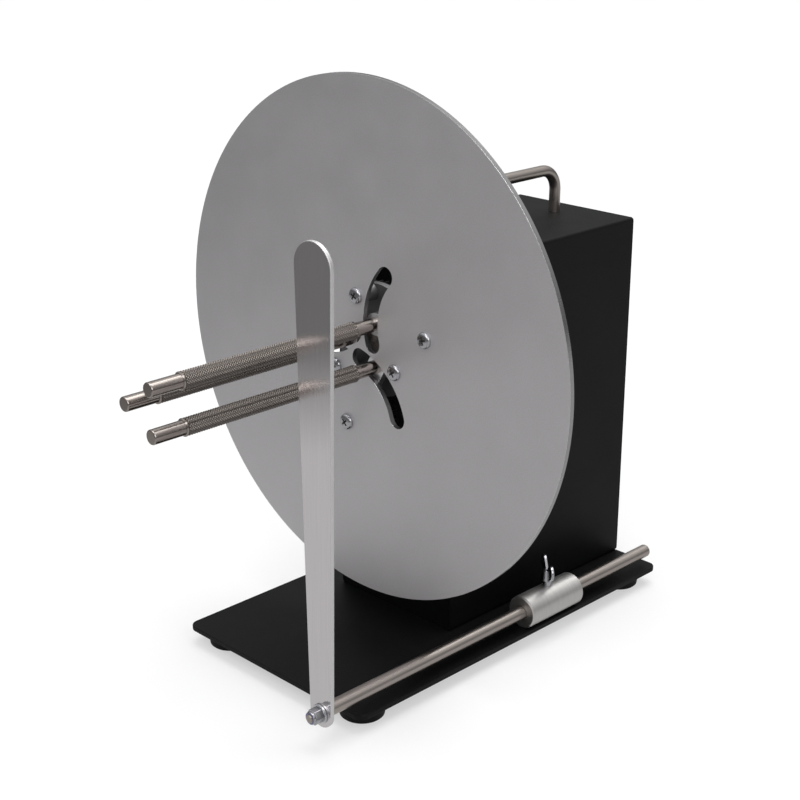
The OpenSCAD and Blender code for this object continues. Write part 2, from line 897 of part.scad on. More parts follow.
module control_board() {
    color(board_green) place() difference() {
        translate([-board_w / 2, house_mid - board_len / 2, board_z]) cube([board_w, board_len, board_t]);
        for (p = board_places) {
            translate([p[0], p[1], board_z - past])
                cylinder(h = board_t + 2 * past, d = board_pin_d + 2 * fix_fit);
        }
    }
}

// Snap-in supports: a pin through the base plate, a round body and a pin through the board
module board_pillars() {
    snap = 1.5;
    color(nylon_white) place() for (p = board_places) {
        translate([p[0], p[1], 0]) {
            translate([0, 0, under_z]) cylinder(h = board_top + snap - under_z, d = board_pin_d);
            translate([0, 0, base_z]) cylinder(h = board_h, d = 2 * board_pin_d);
            translate([0, 0, board_top]) cylinder(h = snap, d = board_pin_d + 1);
        }
    }
}

module board_parts() {
    fins = 6;
    place() translate([0, 0, board_top]) {
        color(plastic_black) translate([-sink_w / 2, house_mid - board_len / 2 + sink_inset, 0]) {
            cube([sink_w, sink_t, sink_h]);
            for (k = [0:fins - 1]) {
                translate([k * (sink_w - fin_t) / (fins - 1), 0, 0]) cube([fin_t, sink_d, sink_h]);
            }
        }
        color(sleeve_blue) for (x = [-1, 1]) {
            translate([x * board_w / 5, house_mid, 0]) cylinder(h = can_h, d = can_d);
        }
        color(terminal_green) for (k = [-1:1]) {
            translate([k * terminal_pitch - terminal_size[0] / 2, terminal_y - terminal_size[1] / 2, 0])
                cube(terminal_size);
        }
    }
}

// Leads from the board's terminals to the motor, the dial, the switch and the inlet
module wire_leads() {
    up = [0, 0, 22];
    out = [0, -16, 0];
    switch_tail = [0, rear_in - switch_depth, base_z + switch_h];
    inlet_tail = [0, rear_in - inlet_depth, base_z + inlet_h];
    dial_tail = [0, rear_in - dial_depth, base_z + dial_h];
    color(lead_red) place() {
        for (side = [-1, 1]) {
            lead(
                terminal_wire(1, side), 2 * up,
                [side * tab_x, motor_back + tab_len, 0], [0, tab_clear, 0]
            );
            lead(terminal_wire(0, side), 2 * up, dial_tail + [side * 5, 0, 0], out);
        }
        lead(terminal_wire(-1, -1), up, inlet_tail + [-3, 0, 0], out);
        lead(terminal_wire(-1, 1), up, switch_tail + [-3, 0, 5], out);
        lead(inlet_tail + [3, 0, 0], out, switch_tail + [3, 0, -5], out);
    }
}

function terminal_wire(block, side) =
    [block * terminal_pitch + side * wire_pitch, terminal_y, terminal_top];

// Round low-voltage socket with a centre pin, held from inside by a nut
module power_inlet() {
    socket_d = 6;
    socket_depth = 9;
    color(plastic_black) at_rear(inlet_h) {
        difference() {
            union() {
                translate([0, 0, -panel_t - inlet_depth])
                    cylinder(h = inlet_depth + panel_t, d = inlet_d);
                cylinder(h = 2, d = inlet_d + 3);
            }
            translate([0, 0, 2 - socket_depth]) cylinder(h = socket_depth + past, d = socket_d);
        }
        translate([0, 0, 1 - socket_depth]) cylinder(h = socket_depth, d = 2);
    }
}

module panel_nuts() {
    color(zinc_steel) {
        at_rear(inlet_h) nut_ring(inlet_d, -panel_t - 2.5, -panel_t);
        at_rear(dial_h) nut_ring(dial_bush_d, 0, dial_nut_t);
    }
}

// Hexagon nut on a round body
module nut_ring(d, from, to) {
    translate([0, 0, from]) difference() {
        cylinder(h = to - from, d = d + 6, $fn = 6);
        translate([0, 0, -past]) cylinder(h = to - from + 2 * past, d = d + 2 * fix_fit);
    }
}

// The well lets the rocker tip to both sides
module switch_housing() {
    well = [rocker_w + 0.6, 16.4];
    color(plastic_black) at_rear(switch_h) difference() {
        union() {
            centred_box(switch_bezel, 0, bezel_t);
            centred_box(switch_hole, -panel_t - switch_depth, 0);
        }
        centred_box(well, -6.5, bezel_t + past);
        rotate([0, 90, 0]) translate([0, 0, -rocker_w / 2 - 1])
            cylinder(h = rocker_w + 2, d = rocker_pin_d + 2 * run_fit);
    }
}

module switch_rocker() {
    color(plastic_black) at_rear(switch_h) rotate([-rocker_tilt, 0, 0]) {
        translate([-rocker_w / 2, 0, 0]) rotate([90, 0, 90]) linear_extrude(rocker_w) polygon([
            [-3.5, -4], [3.5, -4], [7.4, 1], [7.2, 3], [0, 1.8], [-7.2, 3], [-7.4, 1]
        ]);
        rotate([0, 90, 0]) translate([0, 0, -rocker_w / 2 - 0.8])
            cylinder(h = rocker_w + 1.6, d = rocker_pin_d);
    }
}

module dial_body() {
    color(gear_steel) at_rear(dial_h) difference() {
        union() {
            translate([0, 0, -panel_t - dial_depth]) cylinder(h = dial_depth, d = dial_d);
            translate([0, 0, -panel_t - past])
                cylinder(h = panel_t + dial_bush_len + past, d = dial_bush_d);
        }
        translate([0, 0, -panel_t - dial_depth + 2])
            cylinder(h = panel_t + dial_depth + dial_bush_len, d = dial_shaft_d + 2 * run_fit);
    }
}

module dial_shaft() {
    color(zinc_steel) at_rear(dial_h) translate([0, 0, -panel_t - dial_depth + 2 + turn_gap])
        cylinder(h = panel_t + dial_depth - 2 + knob_reach - 3, d = dial_shaft_d);
}

module torque_knob() {
    skirt = dial_bush_len + turn_gap;
    bore_end = knob_reach - 3 + turn_gap;
    color(plastic_black) at_rear(dial_h) {
        difference() {
            translate([0, 0, skirt]) cylinder(h = knob_reach - skirt, d1 = knob_d, d2 = knob_d - 3);
            cylinder(h = bore_end, d = dial_shaft_d + 2 * fix_fit);
            translate([-0.6, -knob_d / 2, knob_reach - 0.8]) cube([1.2, knob_d / 2, past]);
        }
    }
}

// Round bar about the guide rod's axis between two depths
module rod_bar(d, from, to) {
    translate([rod_x, from, rod_z]) rotate([-90, 0, 0]) cylinder(h = to - from, d = d);
}

module rod_clamp() {
    color(turned_aluminium) place() difference() {
        rod_bar(clamp_d, clamp_y, clamp_y + clamp_len);
        translate([rod_x - clamp_d / 2, clamp_y - past, base_z - clamp_d])
            cube([clamp_d, clamp_len + 2 * past, clamp_d]);
        rod_bar(rod_d + 2 * run_fit, clamp_y - past, clamp_y + clamp_len + past);
        translate([rod_x, clamp_mid, rod_z]) cylinder(h = clamp_d, d = wing_d + 2 * run_fit);
        for (p = clamp_screw_places) {
            translate([p[0], p[1], base_z - past])
                cylinder(h = clamp_thread + past, d = bolt_d + 2 * fix_fit);
        }
    }
}

module clamp_screws() {
    color(zinc_steel) place() for (p = clamp_screw_places) {
        translate([p[0], p[1], under_z]) rotate([180, 0, 0]) bolt(base_t + clamp_thread - 0.2);
    }
}

module clamp_pad() {
    color(brass) place() translate([rod_x, clamp_mid, pad_z]) cylinder(h = pad_h, d = wing_d);
}

// One ear of the wing screw, outwards from the screw's axis
module wing_ear() {
    ear_x = wing_span / 2 - ear_r;
    ear_z = wing_h - wing_stem - ear_r;
    translate([ear_x, ear_z]) circle(ear_r);
    polygon([
        [0, 0.5], [wing_hub_d / 2, 0.5], [ear_x + ear_r * 0.8, ear_z - ear_r * 0.6],
        [ear_x - ear_r * 0.6, ear_z + ear_r * 0.8], [0, wing_hub_h - 1]
    ]);
}

module wing_screw() {
    tip_z = pad_z + pad_h;
    hub_z = clamp_top + wing_stem;
    color(zinc_steel) place() translate([rod_x, clamp_mid, 0]) rotate(wing_turn) {
        translate([0, 0, tip_z]) cylinder(h = hub_z - tip_z + past, d = wing_d);
        translate([0, 0, hub_z]) cylinder(h = wing_hub_h, d1 = wing_hub_d, d2 = wing_hub_d - 2);
        for (turn = [0, 180]) {
            rotate(turn) translate([0, wing_t / 2, hub_z]) rotate([90, 0, 0])
                linear_extrude(wing_t) wing_ear();
        }
    }
}

// Rod with a rounded-off rear end and a reduced threaded stud in front
module guide_rod() {
    shoulder_y = guide_back + guide_play;
    edge = 1;
    color(stainless) place() translate([rod_x, 0, rod_z]) rotate([-90, 0, 0]) rotate_extrude()
        polygon([
            [0, stud_end_y], [stud_d / 2 - edge / 2, stud_end_y], [stud_d / 2, stud_end_y + edge / 2],
            [stud_d / 2, shoulder_y], [rod_d / 2, shoulder_y], [rod_d / 2, rod_rear - edge],
            [rod_d / 2 - edge, rod_rear], [0, rod_rear]
        ]);
}

module guide_washer() {
    color(zinc_steel) place() difference() {
        rod_bar(washer_d, washer_y, washer_y + washer_t);
        rod_bar(stud_d + 2 * fix_fit, washer_y - past, washer_y + washer_t + past);
    }
}

// Hexagon locking nut with its round collar in front
module guide_nut() {
    color(zinc_steel) place() difference() {
        union() {
            translate([rod_x, washer_y - nut_hex_h, rod_z]) rotate([-90, 30, 0])
                cylinder(h = nut_hex_h, d = nut_w / cos(30), $fn = 6);
            rod_bar(nut_w - 0.6, nut_y, washer_y - past);
        }
        rod_bar(stud_d + 2 * fix_fit, nut_y - past, washer_y + past);
    }
}

// Tapered bar with round ends, from the pivot at its narrow foot, its flats just inside the rounds
module guide_arm() {
    foot_r = guide_foot_w / 2;
    top_r = guide_top_w / 2;
    flat_in = 0.05;
    lean = asin((top_r - foot_r) / guide_h);
    side = [cos(lean), -sin(lean)];
    other = [-side[0], side[1]];
    top = [0, guide_h];
    color(satin_aluminium) place() difference() {
        slab(-guide_front, guide_back) translate([rod_x, rod_z]) {
            circle(foot_r);
            translate(top) circle(top_r);
            polygon([
                (foot_r - flat_in) * side, top + (top_r - flat_in) * side,
                top + (top_r - flat_in) * other, (foot_r - flat_in) * other
            ]);
        }
        rod_bar(stud_d + 2 * run_fit, -guide_front - past, guide_back + past);
    }
}

// Curved slot about a pivot, from the fully closed post to the fully open post
module swing_slot(i) {
    closed = pivot_angle(i) + 180;
    at_pivot(i) {
        rotate(closed - open_swing) rotate_extrude(angle = open_swing)
            translate([arm_len - slot_run_w / 2, -disc_t - past]) square([slot_run_w, disc_t + 2 * past]);
        for (a = [closed - open_swing, closed]) {
            polar(arm_len, a) bar(slot_w, -past, disc_t + past);
        }
    }
}

module disc() {
    color(satin_aluminium) face() difference() {
        bar(disc_d, 0, disc_t);
        for (i = [0:2]) {
            swing_slot(i);
            at_pivot(i) bar(screw_d + 2 * fix_fit, -past, disc_t + past);
            polar(hub_ring_r, hub_screw_angle(i)) bar(screw_d + 2 * fix_fit, -past, disc_t + past);
        }
    }
}

module hub_spacers() {
    color(turned_aluminium) face() for (i = [0:2]) {
        polar(hub_ring_r, hub_screw_angle(i))
            tube(2 * screw_d, screw_d + 2 * fix_fit, disc_t, hub_front);
    }
}

module hub_screws() {
    color(zinc_steel) face() for (i = [0:2]) {
        polar(hub_ring_r, hub_screw_angle(i)) disc_screw(flange_back - fix_fit);
    }
}

module pivot_pins() {
    color(gear_steel) face() for (i = [0:2]) {
        at_pivot(i) difference() {
            union() {
                bar(pivot_d, disc_t, pin_back + past);
                bar(pin_head_d, pin_back, pin_back + pin_head_t);
            }
            bar(screw_d + 2 * fix_fit, disc_t - past, disc_t + screw_grip);
        }
    }
}

module pivot_screws() {
    color(zinc_steel) face() for (i = [0:2]) {
        at_pivot(i) disc_screw(disc_t + screw_grip - past);
    }
}

// Flat arm with the sleeve that turns on the pivot pin and carries the gear
module swing_arm(i) {
    color(turned_aluminium) face() difference() {
        union() {
            translate([0, 0, -arm_back]) linear_extrude(arm_t) at_pivot(i) {
                circle(d = arm_w);
                rotate(arm_angle(i)) translate([0, -arm_waist / 2]) square([arm_len, arm_waist]);
                polar(arm_len, arm_angle(i)) circle(d = arm_w);
            }
            at_pivot(i) bar(sleeve_d, arm_front, gear_front);
            at_pivot(i) bar(gear_seat_d, arm_front, gear_back);
        }
        at_pivot(i) bar(pivot_d + 2 * run_fit, arm_front - past, gear_back + past);
        at_post(i) bar(rivet_d + 2 * fix_fit, arm_front - past, arm_back + past);
    }
}

module arm_gear(i) {
    color(gear_steel) face() at_pivot(i) rotate(pivot_angle(i) + 180)
        gear(arm_teeth, gear_seat_d + 2 * fix_fit);
}

module sync_gear() {
    color(gear_steel) face() rotate(pivot_turn + 180 / sync_teeth)
        gear(sync_teeth, hub_boss_d + 2 * run_fit);
}

// Turned post: riveted end, smooth root, knurled body and smooth tip
module core_post(i) {
    edge = 0.6;
    step = min(edge, 0.4 * (post_d - tip_d));
    body_end = post_reach - tip_len;
    color(stainless) face() at_post(i) rotate_extrude() polygon([
        [0, -arm_back - rivet_head_t], [root_d / 2, -arm_back - rivet_head_t], [root_d / 2, -arm_back],
        [rivet_d / 2, -arm_back], [rivet_d / 2, -arm_front], [root_d / 2, -arm_front],
        [root_d / 2, root_len - edge], [post_d / 2, root_len], [post_d / 2, body_end - step],
        [post_d / 2 - step, body_end], [tip_d / 2, body_end], [tip_d / 2, post_reach - edge],
        [tip_d / 2 - edge, post_reach], [0, post_reach]
    ]);
}

base_plate();
feet();
foot_screws();
cover();
front_panel();
rear_panel();
base_screws();
carry_handle();
handle_screws();
bearing_block();
frame_bolts();
bearing_outer_rings();
motor_plate();
motor_pillars();
gearbox();
gearbox_screws();
motor();
control_board();
board_pillars();
board_parts();
wire_leads();
power_inlet();
panel_nuts();
switch_housing();
dial_body();
rod_clamp();
clamp_screws();
spindle_shaft();
bearing_inner_rings();
shaft_clips();
coupling();
set_screws();
motor_shaft();
hub();
hub_spacers();
hub_screws();
disc();
pivot_pins();
pivot_screws();
bearing_balls();
sync_gear();
swing_arm(0);  // swing_arm_1
swing_arm(1);  // swing_arm_2
swing_arm(2);  // swing_arm_3
arm_gear(0);  // arm_gear_1
arm_gear(1);  // arm_gear_2
arm_gear(2);  // arm_gear_3
core_post(0);  // core_post_1
core_post(1);  // core_post_2
core_post(2);  // core_post_3
guide_rod();
guide_washer();
guide_nut();
guide_arm();
clamp_pad();
wing_screw();
switch_rocker();
dial_shaft();
torque_knob();
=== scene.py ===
"""Looks of a bench label rewinder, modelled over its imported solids.

Shapes are worked in millimetres, each in a frame of its own, and set down in the part's frame,
which is in metres. Depths count backwards from the front face of the winding disc.
"""

import json
import logging
import math
from collections.abc import Iterable, Sequence
from dataclasses import dataclass
from enum import Enum

import bmesh
import bpy
from mathutils import Matrix, Vector


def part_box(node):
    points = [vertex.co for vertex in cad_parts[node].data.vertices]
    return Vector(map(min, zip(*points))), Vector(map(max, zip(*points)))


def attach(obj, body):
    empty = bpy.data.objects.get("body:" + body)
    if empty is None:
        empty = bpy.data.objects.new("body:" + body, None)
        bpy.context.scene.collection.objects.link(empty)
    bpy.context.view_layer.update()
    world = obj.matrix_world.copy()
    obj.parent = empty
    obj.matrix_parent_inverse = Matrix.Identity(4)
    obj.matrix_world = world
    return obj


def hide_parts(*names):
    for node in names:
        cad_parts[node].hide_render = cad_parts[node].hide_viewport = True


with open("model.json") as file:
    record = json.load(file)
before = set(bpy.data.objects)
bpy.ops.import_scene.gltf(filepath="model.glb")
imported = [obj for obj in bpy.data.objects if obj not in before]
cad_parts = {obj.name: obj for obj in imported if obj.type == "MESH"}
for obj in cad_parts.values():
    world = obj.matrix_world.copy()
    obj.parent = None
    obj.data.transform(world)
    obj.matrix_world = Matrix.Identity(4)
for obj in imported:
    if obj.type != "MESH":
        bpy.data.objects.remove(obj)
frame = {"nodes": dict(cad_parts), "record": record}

LOG = logging.getLogger("label_rewinder")
MM = 0.001
THIRD_TURN = 120.0
Point = tuple[float, float]
Triple = tuple[float, float, float]
Profile = tuple[Point, ...]


def arc(centre: Point, radius: float, start: float, end: float, steps: int) -> list[Point]:
    """Lists points along a circular arc, both ends included.

    Args:
        centre: Centre of the arc.
        radius: Radius of the arc.
        start: Angle of the first point, in degrees.
        end: Angle of the last point, in degrees.
        steps: Number of equal steps along the arc.

    Returns:
        The points, in order.
    """
    angles = [math.radians(start + (end - start) * k / steps) for k in range(steps + 1)]
    return [(centre[0] + radius * math.cos(a), centre[1] + radius * math.sin(a)) for a in angles]


def circle(radius: float, steps: int) -> list[Point]:
    """Lists the points of a whole circle about the origin, each of them once."""
    return arc((0.0, 0.0), radius, 0, 360 - 360 / steps, steps - 1)


def polar(radius: float, angle: float) -> Point:
    """Gives the point at a radius and an angle in degrees."""
    return radius * math.cos(math.radians(angle)), radius * math.sin(math.radians(angle))


def round_rect(width: float, height: float, radius: float, steps: int = 8) -> list[Point]:
    """Outlines a rectangle with round corners about its middle.

    Args:
        width: Size along x.
        height: Size along y.
        radius: Corner radius.
        steps: Steps of each corner.

    Returns:
        The outline, anticlockwise.
    """
    x, y = width / 2 - radius, height / 2 - radius
    corners = (((x, y), 0), ((-x, y), 90), ((-x, -y), 180), ((x, -y), 270))
    return [p for centre, turn in corners for p in arc(centre, radius, turn, turn + 90, steps)]


@dataclass(frozen=True)
class Datum:
    """Place of the spindle in the part's frame, and the places from it that pieces share."""

    depth: float
    height: float
    pivot_r: float = 51.0
    pivot_turn: float = 15.5
    swing_r: float = 42.3
    rod_x: float = 68.0
    rod_z: float = -166.3
    cover_x: float = -4.5
    cover_top: float = 48.0
    base_top: float = -176.0
    rear: float = 190.0

    @classmethod
    def from_disc(cls) -> "Datum":
        """Reads the spindle's place from the winding disc."""
        low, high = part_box("disc")
        return cls(depth=low.y / MM, height=(low.z + high.z) / 2 / MM)

    def at(self, x: float, depth: float, z: float) -> Matrix:
        """Sets a shape down upright at a place counted from the spindle."""
        return Matrix.Translation((x, self.depth + depth, self.height + z))

    def facing(self, x: float = 0.0, depth: float = 0.0, z: float = 0.0) -> Matrix:
        """Sets a shape down with its z to the front and its y upwards."""
        return self.at(x, depth, z) @ Matrix.Rotation(math.pi / 2, 4, "X")

    def backing(self, x: float = 0.0, depth: float = 0.0, z: float = 0.0) -> Matrix:
        """Sets a shape down with its z to the rear and its y downwards."""
        return self.at(x, depth, z) @ Matrix.Rotation(-math.pi / 2, 4, "X")


class Workpiece:
    """A mesh in the making, in millimetres, that ends as one named object."""

    MERGE = 1e-3
    FLAT = 0.5
    FACE_LEAN = 0.99
    SIDE_LEAN = 0.1

    def __init__(self) -> None:
        """Starts with no geometry."""
        self.mesh = bmesh.new()

    @classmethod
    def lathe(cls, profile: Sequence[Point], steps: int = 64, closed: bool = False) -> "Workpiece":
        """Turns a profile about the z axis.

        Args:
            profile: Points as radius and height.
            steps: Steps around the axis.
            closed: Whether the last point joins the first, as for a tube.

        Returns:
            The turned piece.
        """
        piece = cls()
        verts = [piece.mesh.verts.new((r, 0.0, z)) for r, z in profile]
        ends = verts[1:] + verts[:1] if closed else verts[1:]
        edges = [piece.mesh.edges.new(pair) for pair in zip(verts, ends)]
        bmesh.ops.spin(
            piece.mesh, geom=verts + edges, cent=(0, 0, 0), axis=(0, 0, 1), dvec=(0, 0, 0),
            angle=math.tau, steps=steps, use_merge=True,
        )
        return piece.tidied()

    @classmethod
    def plate(cls, outlines: Sequence[Sequence[Point]], thickness: float) -> "Workpiece":
        """Makes a flat plate upwards from zero, with the later outlines as its openings.

        Args:
            outlines: The outer outline, then one for each opening.
            thickness: Thickness along z.

        Returns:
            The plate.
        """
        piece = cls()
        edges = [edge for outline in outlines for edge in piece.loop(outline)]
        if len(outlines) == 1:
            bmesh.ops.edgeloop_fill(piece.mesh, edges=edges)
        else:
            bmesh.ops.triangle_fill(piece.mesh, use_beauty=True, edges=edges, normal=(0, 0, 1))
        made = bmesh.ops.extrude_face_region(piece.mesh, geom=piece.mesh.faces[:])
        top = [v for v in made["geom"] if isinstance(v, bmesh.types.BMVert)]
        bmesh.ops.translate(piece.mesh, verts=top, vec=(0, 0, thickness))
        return piece.tidied()

    @classmethod
    def copy_of(cls, node: str) -> "Workpiece":
        """Takes a merged copy of a solid, in the part's frame.

        Args:
            node: Name of the solid.

        Returns:
            The copy, with its flat faces whole.
        """
        piece = cls()
        piece.mesh.from_mesh(frame["nodes"][node].data)
        piece.moved(Matrix.Scale(1 / MM, 4)).tidied()
        bmesh.ops.dissolve_limit(
            piece.mesh, angle_limit=math.radians(cls.FLAT), use_dissolve_boundaries=False,
            verts=piece.mesh.verts[:], edges=piece.mesh.edges[:],
        )
        return piece

    def loop(self, outline: Sequence[Point]) -> list[bmesh.types.BMEdge]:
        """Draws a closed outline at z zero and returns its edges."""
        verts = [self.mesh.verts.new((x, y, 0.0)) for x, y in outline]
        return [self.mesh.edges.new(pair) for pair in zip(verts, verts[1:] + verts[:1])]

    def tidied(self) -> "Workpiece":
        """Merges doubled points and turns all faces outwards.

        Returns:
            This piece.
        """
        bmesh.ops.remove_doubles(self.mesh, verts=self.mesh.verts[:], dist=self.MERGE)
        bmesh.ops.recalc_face_normals(self.mesh, faces=self.mesh.faces[:])
        return self

    def closed(self) -> "Workpiece":
        """Fills the open ends and tidies the piece.

        Returns:
            This piece.
        """
        rims = [edge for edge in self.mesh.edges if edge.is_boundary]
        bmesh.ops.holes_fill(self.mesh, edges=rims, sides=0)
        return self.tidied()

    def moved(self, place: Matrix) -> "Workpiece":
        """Moves the whole piece by a matrix."""
        bmesh.ops.transform(self.mesh, matrix=place, verts=self.mesh.verts[:])
        return self

    def joined(self, others: Iterable["Workpiece"]) -> "Workpiece":
        """Takes in other pieces as they lie.

        Args:
            others: Pieces to take in; they are used up.

        Returns:
            This piece.
        """
        for other in others:
            data = bpy.data.meshes.new("taken_in")
            other.mesh.to_mesh(data)
            other.mesh.free()
            self.mesh.from_mesh(data)
            bpy.data.meshes.remove(data)
        return self

    def softened(self, width: float, segments: int = 2, crease: float = 40.0) -> "Workpiece":
        """Bevels the sharp edges.

        Args:
            width: Width of the bevel.
            segments: Faces across the bevel.
            crease: Angle between faces above which an edge is sharp, in degrees.

        Returns:
            This piece.
        """
        limit = math.radians(crease)
        sharp = [e for e in self.mesh.edges if e.is_manifold and e.calc_face_angle() > limit]
        bmesh.ops.bevel(
            self.mesh, geom=sharp, offset=width, offset_type="OFFSET", segments=segments,
            profile=0.5, affect="EDGES", clamp_overlap=True, material=-1,
        )
        return self

    def rimmed(self) -> "Workpiece":
        """Gives the sides of a plate the second finish and its chamfers the third.

        Returns:
            This piece.
        """
        for face in self.mesh.faces:
            lean = abs(face.normal.z)
            face.material_index = 0 if lean > self.FACE_LEAN else 1 if lean < self.SIDE_LEAN else 2
        return self

    def finished(
        self, name: str, place: Matrix | None = None, crease: float = 20.0,
    ) -> bpy.types.Object:
        """Turns the piece into an object whose place lies in its mesh.

        Args:
            name: Name of the object.
            place: Where the piece goes in the part's frame, in millimetres.
            crease: Angle above which an edge is shaded sharp, in degrees.

        Returns:
            The object, at the origin.
        """
        self.moved(Matrix.Scale(MM, 4) @ (place or Matrix()))
        data = bpy.data.meshes.new(name)
        self.mesh.to_mesh(data)
        self.mesh.free()
        data.shade_smooth()
        data.set_sharp_from_angle(angle=math.radians(crease))
        piece = bpy.data.objects.new(name, data)
        bpy.context.scene.collection.objects.link(piece)
        return piece


class Wiring:
    """Adds the nodes of one shader tree and joins them."""

    def __init__(self, tree: bpy.types.NodeTree) -> None:
        """Starts on a tree."""
        self.tree = tree

    def add(
        self, kind: str, feeds: dict[str | int, object] | None = None, **settings: object,
    ) -> bpy.types.Node:
        """Adds a node.

        Args:
            kind: Type of the node.
            feeds: Values or sockets for its inputs, by name or place.
            settings: Values for its own properties.

        Returns:
            The node.
        """
        node = self.tree.nodes.new(kind)
        for name, value in settings.items():
            setattr(node, name, value)
        for key, value in (feeds or {}).items():
            if isinstance(value, bpy.types.NodeSocket):
                self.tree.links.new(value, node.inputs[key])
            else:
                node.inputs[key].default_value = value
        return node

    def maths(self, operation: str, *values: object) -> bpy.types.NodeSocket:
        """Adds a maths node over two or three values and returns its result."""
        return self.add("ShaderNodeMath", dict(enumerate(values)), operation=operation).outputs[0]

    def ranged(self, value: object, low: float, high: float, *ends: float) -> bpy.types.NodeSocket:
        """Maps a value from one range to another, held at its ends.

        Args:
            value: The value.
            low: Start of its range.
            high: End of its range.
            ends: Results at the start and at the end.

        Returns:
            The mapped value.
        """
        feeds = {
            "Value": value, "From Min": low, "From Max": high, "To Min": ends[0], "To Max": ends[1],
        }
        return self.add("ShaderNodeMapRange", feeds).outputs["Result"]


class Effect(Enum):
    """Shared surface effects, each one a node group."""

    GRAIN = "metal_grain"
    POWDER = "powder_texture"
    MOULDED = "moulded_texture"


@dataclass(frozen=True)
class EffectGroup:
    """One effect's node group: a colour, a roughness and a height that vary over the surface."""

    effect: Effect
    noise_roughness: float = 0.6
    noise_range: Point = (0.25, 0.75)
    grain_detail: Point = (2.0, 3.0)
    grain_patch: float = 0.03
    grain_tone: float = 0.35
    grain_gloss: float = 0.4
    powder_detail: float = 3.0
    powder_patch: float = 0.02
    powder_tone: float = 0.5
    powder_cell: float = 0.7
    moulded_detail: Point = (4.0, 2.0)
    moulded_patch: float = 0.05
    moulded_gloss: float = 0.5

    def tree(self) -> bpy.types.NodeTree:
        """Gives the group, made on first use.

        Returns:
            The node group.
        """
        known = bpy.data.node_groups.get(self.effect.value)
        if known:
            return known
        group = bpy.data.node_groups.new(self.effect.value, "ShaderNodeTree")
        inputs = {
            "Vector": "NodeSocketVector", "Colour": "NodeSocketColor",
            "Density": "NodeSocketFloat", "Contrast": "NodeSocketFloat",
            "Roughness": "NodeSocketFloat", "Spread": "NodeSocketFloat",
        }
        outputs = {
            "Colour": "NodeSocketColor", "Roughness": "NodeSocketFloat",
            "Height": "NodeSocketFloat",
        }
        for way, sockets in (("INPUT", inputs), ("OUTPUT", outputs)):
            for name, kind in sockets.items():
                group.interface.new_socket(name=name, in_out=way, socket_type=kind)
        wiring = Wiring(group)
        given = wiring.add("NodeGroupInput").outputs
        makers = {
            Effect.GRAIN: self.grain, Effect.POWDER: self.powder, Effect.MOULDED: self.moulded,
        }
        tone, patch, height = makers[self.effect](wiring, given)
        shade = wiring.maths("MULTIPLY_ADD", tone, given["Contrast"], 1.0)
        tinted = {"Color": given["Colour"], "Value": shade}
        colour = wiring.add("ShaderNodeHueSaturation", tinted)
        rough = wiring.maths("MULTIPLY_ADD", patch, given["Spread"], given["Roughness"])
        results = {"Colour": colour.outputs["Color"], "Roughness": rough, "Height": height}
        wiring.add("NodeGroupOutput", results)
        return group

    def noise(
        self, wiring: Wiring, given: object, detail: float, patch: float | None = None,
    ) -> bpy.types.NodeSocket:
        """Adds a noise between about -1 and 1.

        Args:
            wiring: Tree to add to.
            given: The group's inputs.
            detail: Finer layers in it.
            patch: Share of the group's density that it has, or none for all of it.

        Returns:
            The noise.
        """
        density = given["Density"]
        if patch is not None:
            density = wiring.maths("MULTIPLY", density, patch)
        feeds = {
            "Vector": given["Vector"], "Scale": density, "Detail": detail,
            "Roughness": self.noise_roughness,
        }
        texture = wiring.add("ShaderNodeTexNoise", feeds)
        return wiring.ranged(texture.outputs["Fac"], *self.noise_range, -1.0, 1.0)

    def grain(self, wiring: Wiring, given: object) -> tuple[object, object, object]:
        """Fine metal grain over soft handling patches.

        Args:
            wiring: Tree to add to.
            given: The group's inputs.

        Returns:
            The tone, the patches and the height.
        """
        fine = self.noise(wiring, given, self.grain_detail[0])
        broad = self.noise(wiring, given, self.grain_detail[1], self.grain_patch)
        tone = wiring.maths("MULTIPLY_ADD", broad, self.grain_tone, fine)
        gloss = wiring.maths("ADD", broad, wiring.maths("MULTIPLY", fine, self.grain_gloss))
        return tone, gloss, fine

    def powder(self, wiring: Wiring, given: object) -> tuple[object, object, object]:
        """Small even bumps of a baked powder coat.

        Args:
            wiring: Tree to add to.
            given: The group's inputs.

        Returns:
            The tone, the patches and the height.
        """
        feeds = {"Vector": given["Vector"], "Scale": given["Density"]}
        cells = wiring.add("ShaderNodeTexVoronoi", feeds, feature="SMOOTH_F1")
        bumps = wiring.ranged(cells.outputs["Distance"], 0.0, self.powder_cell, 1.0, -1.0)
        broad = self.noise(wiring, given, self.powder_detail, self.powder_patch)
        return wiring.maths("MULTIPLY_ADD", broad, self.powder_tone, bumps), broad, bumps

    def moulded(self, wiring: Wiring, given: object) -> tuple[object, object, object]:
        """Fine erosion texture of a moulded surface.

        Args:
            wiring: Tree to add to.
            given: The group's inputs.

        Returns:
            The tone, the patches and the height.
        """
        fine = self.noise(wiring, given, self.moulded_detail[0])
        broad = self.noise(wiring, given, self.moulded_detail[1], self.moulded_patch)
        return broad, wiring.maths("MULTIPLY_ADD", fine, self.moulded_gloss, broad), fine


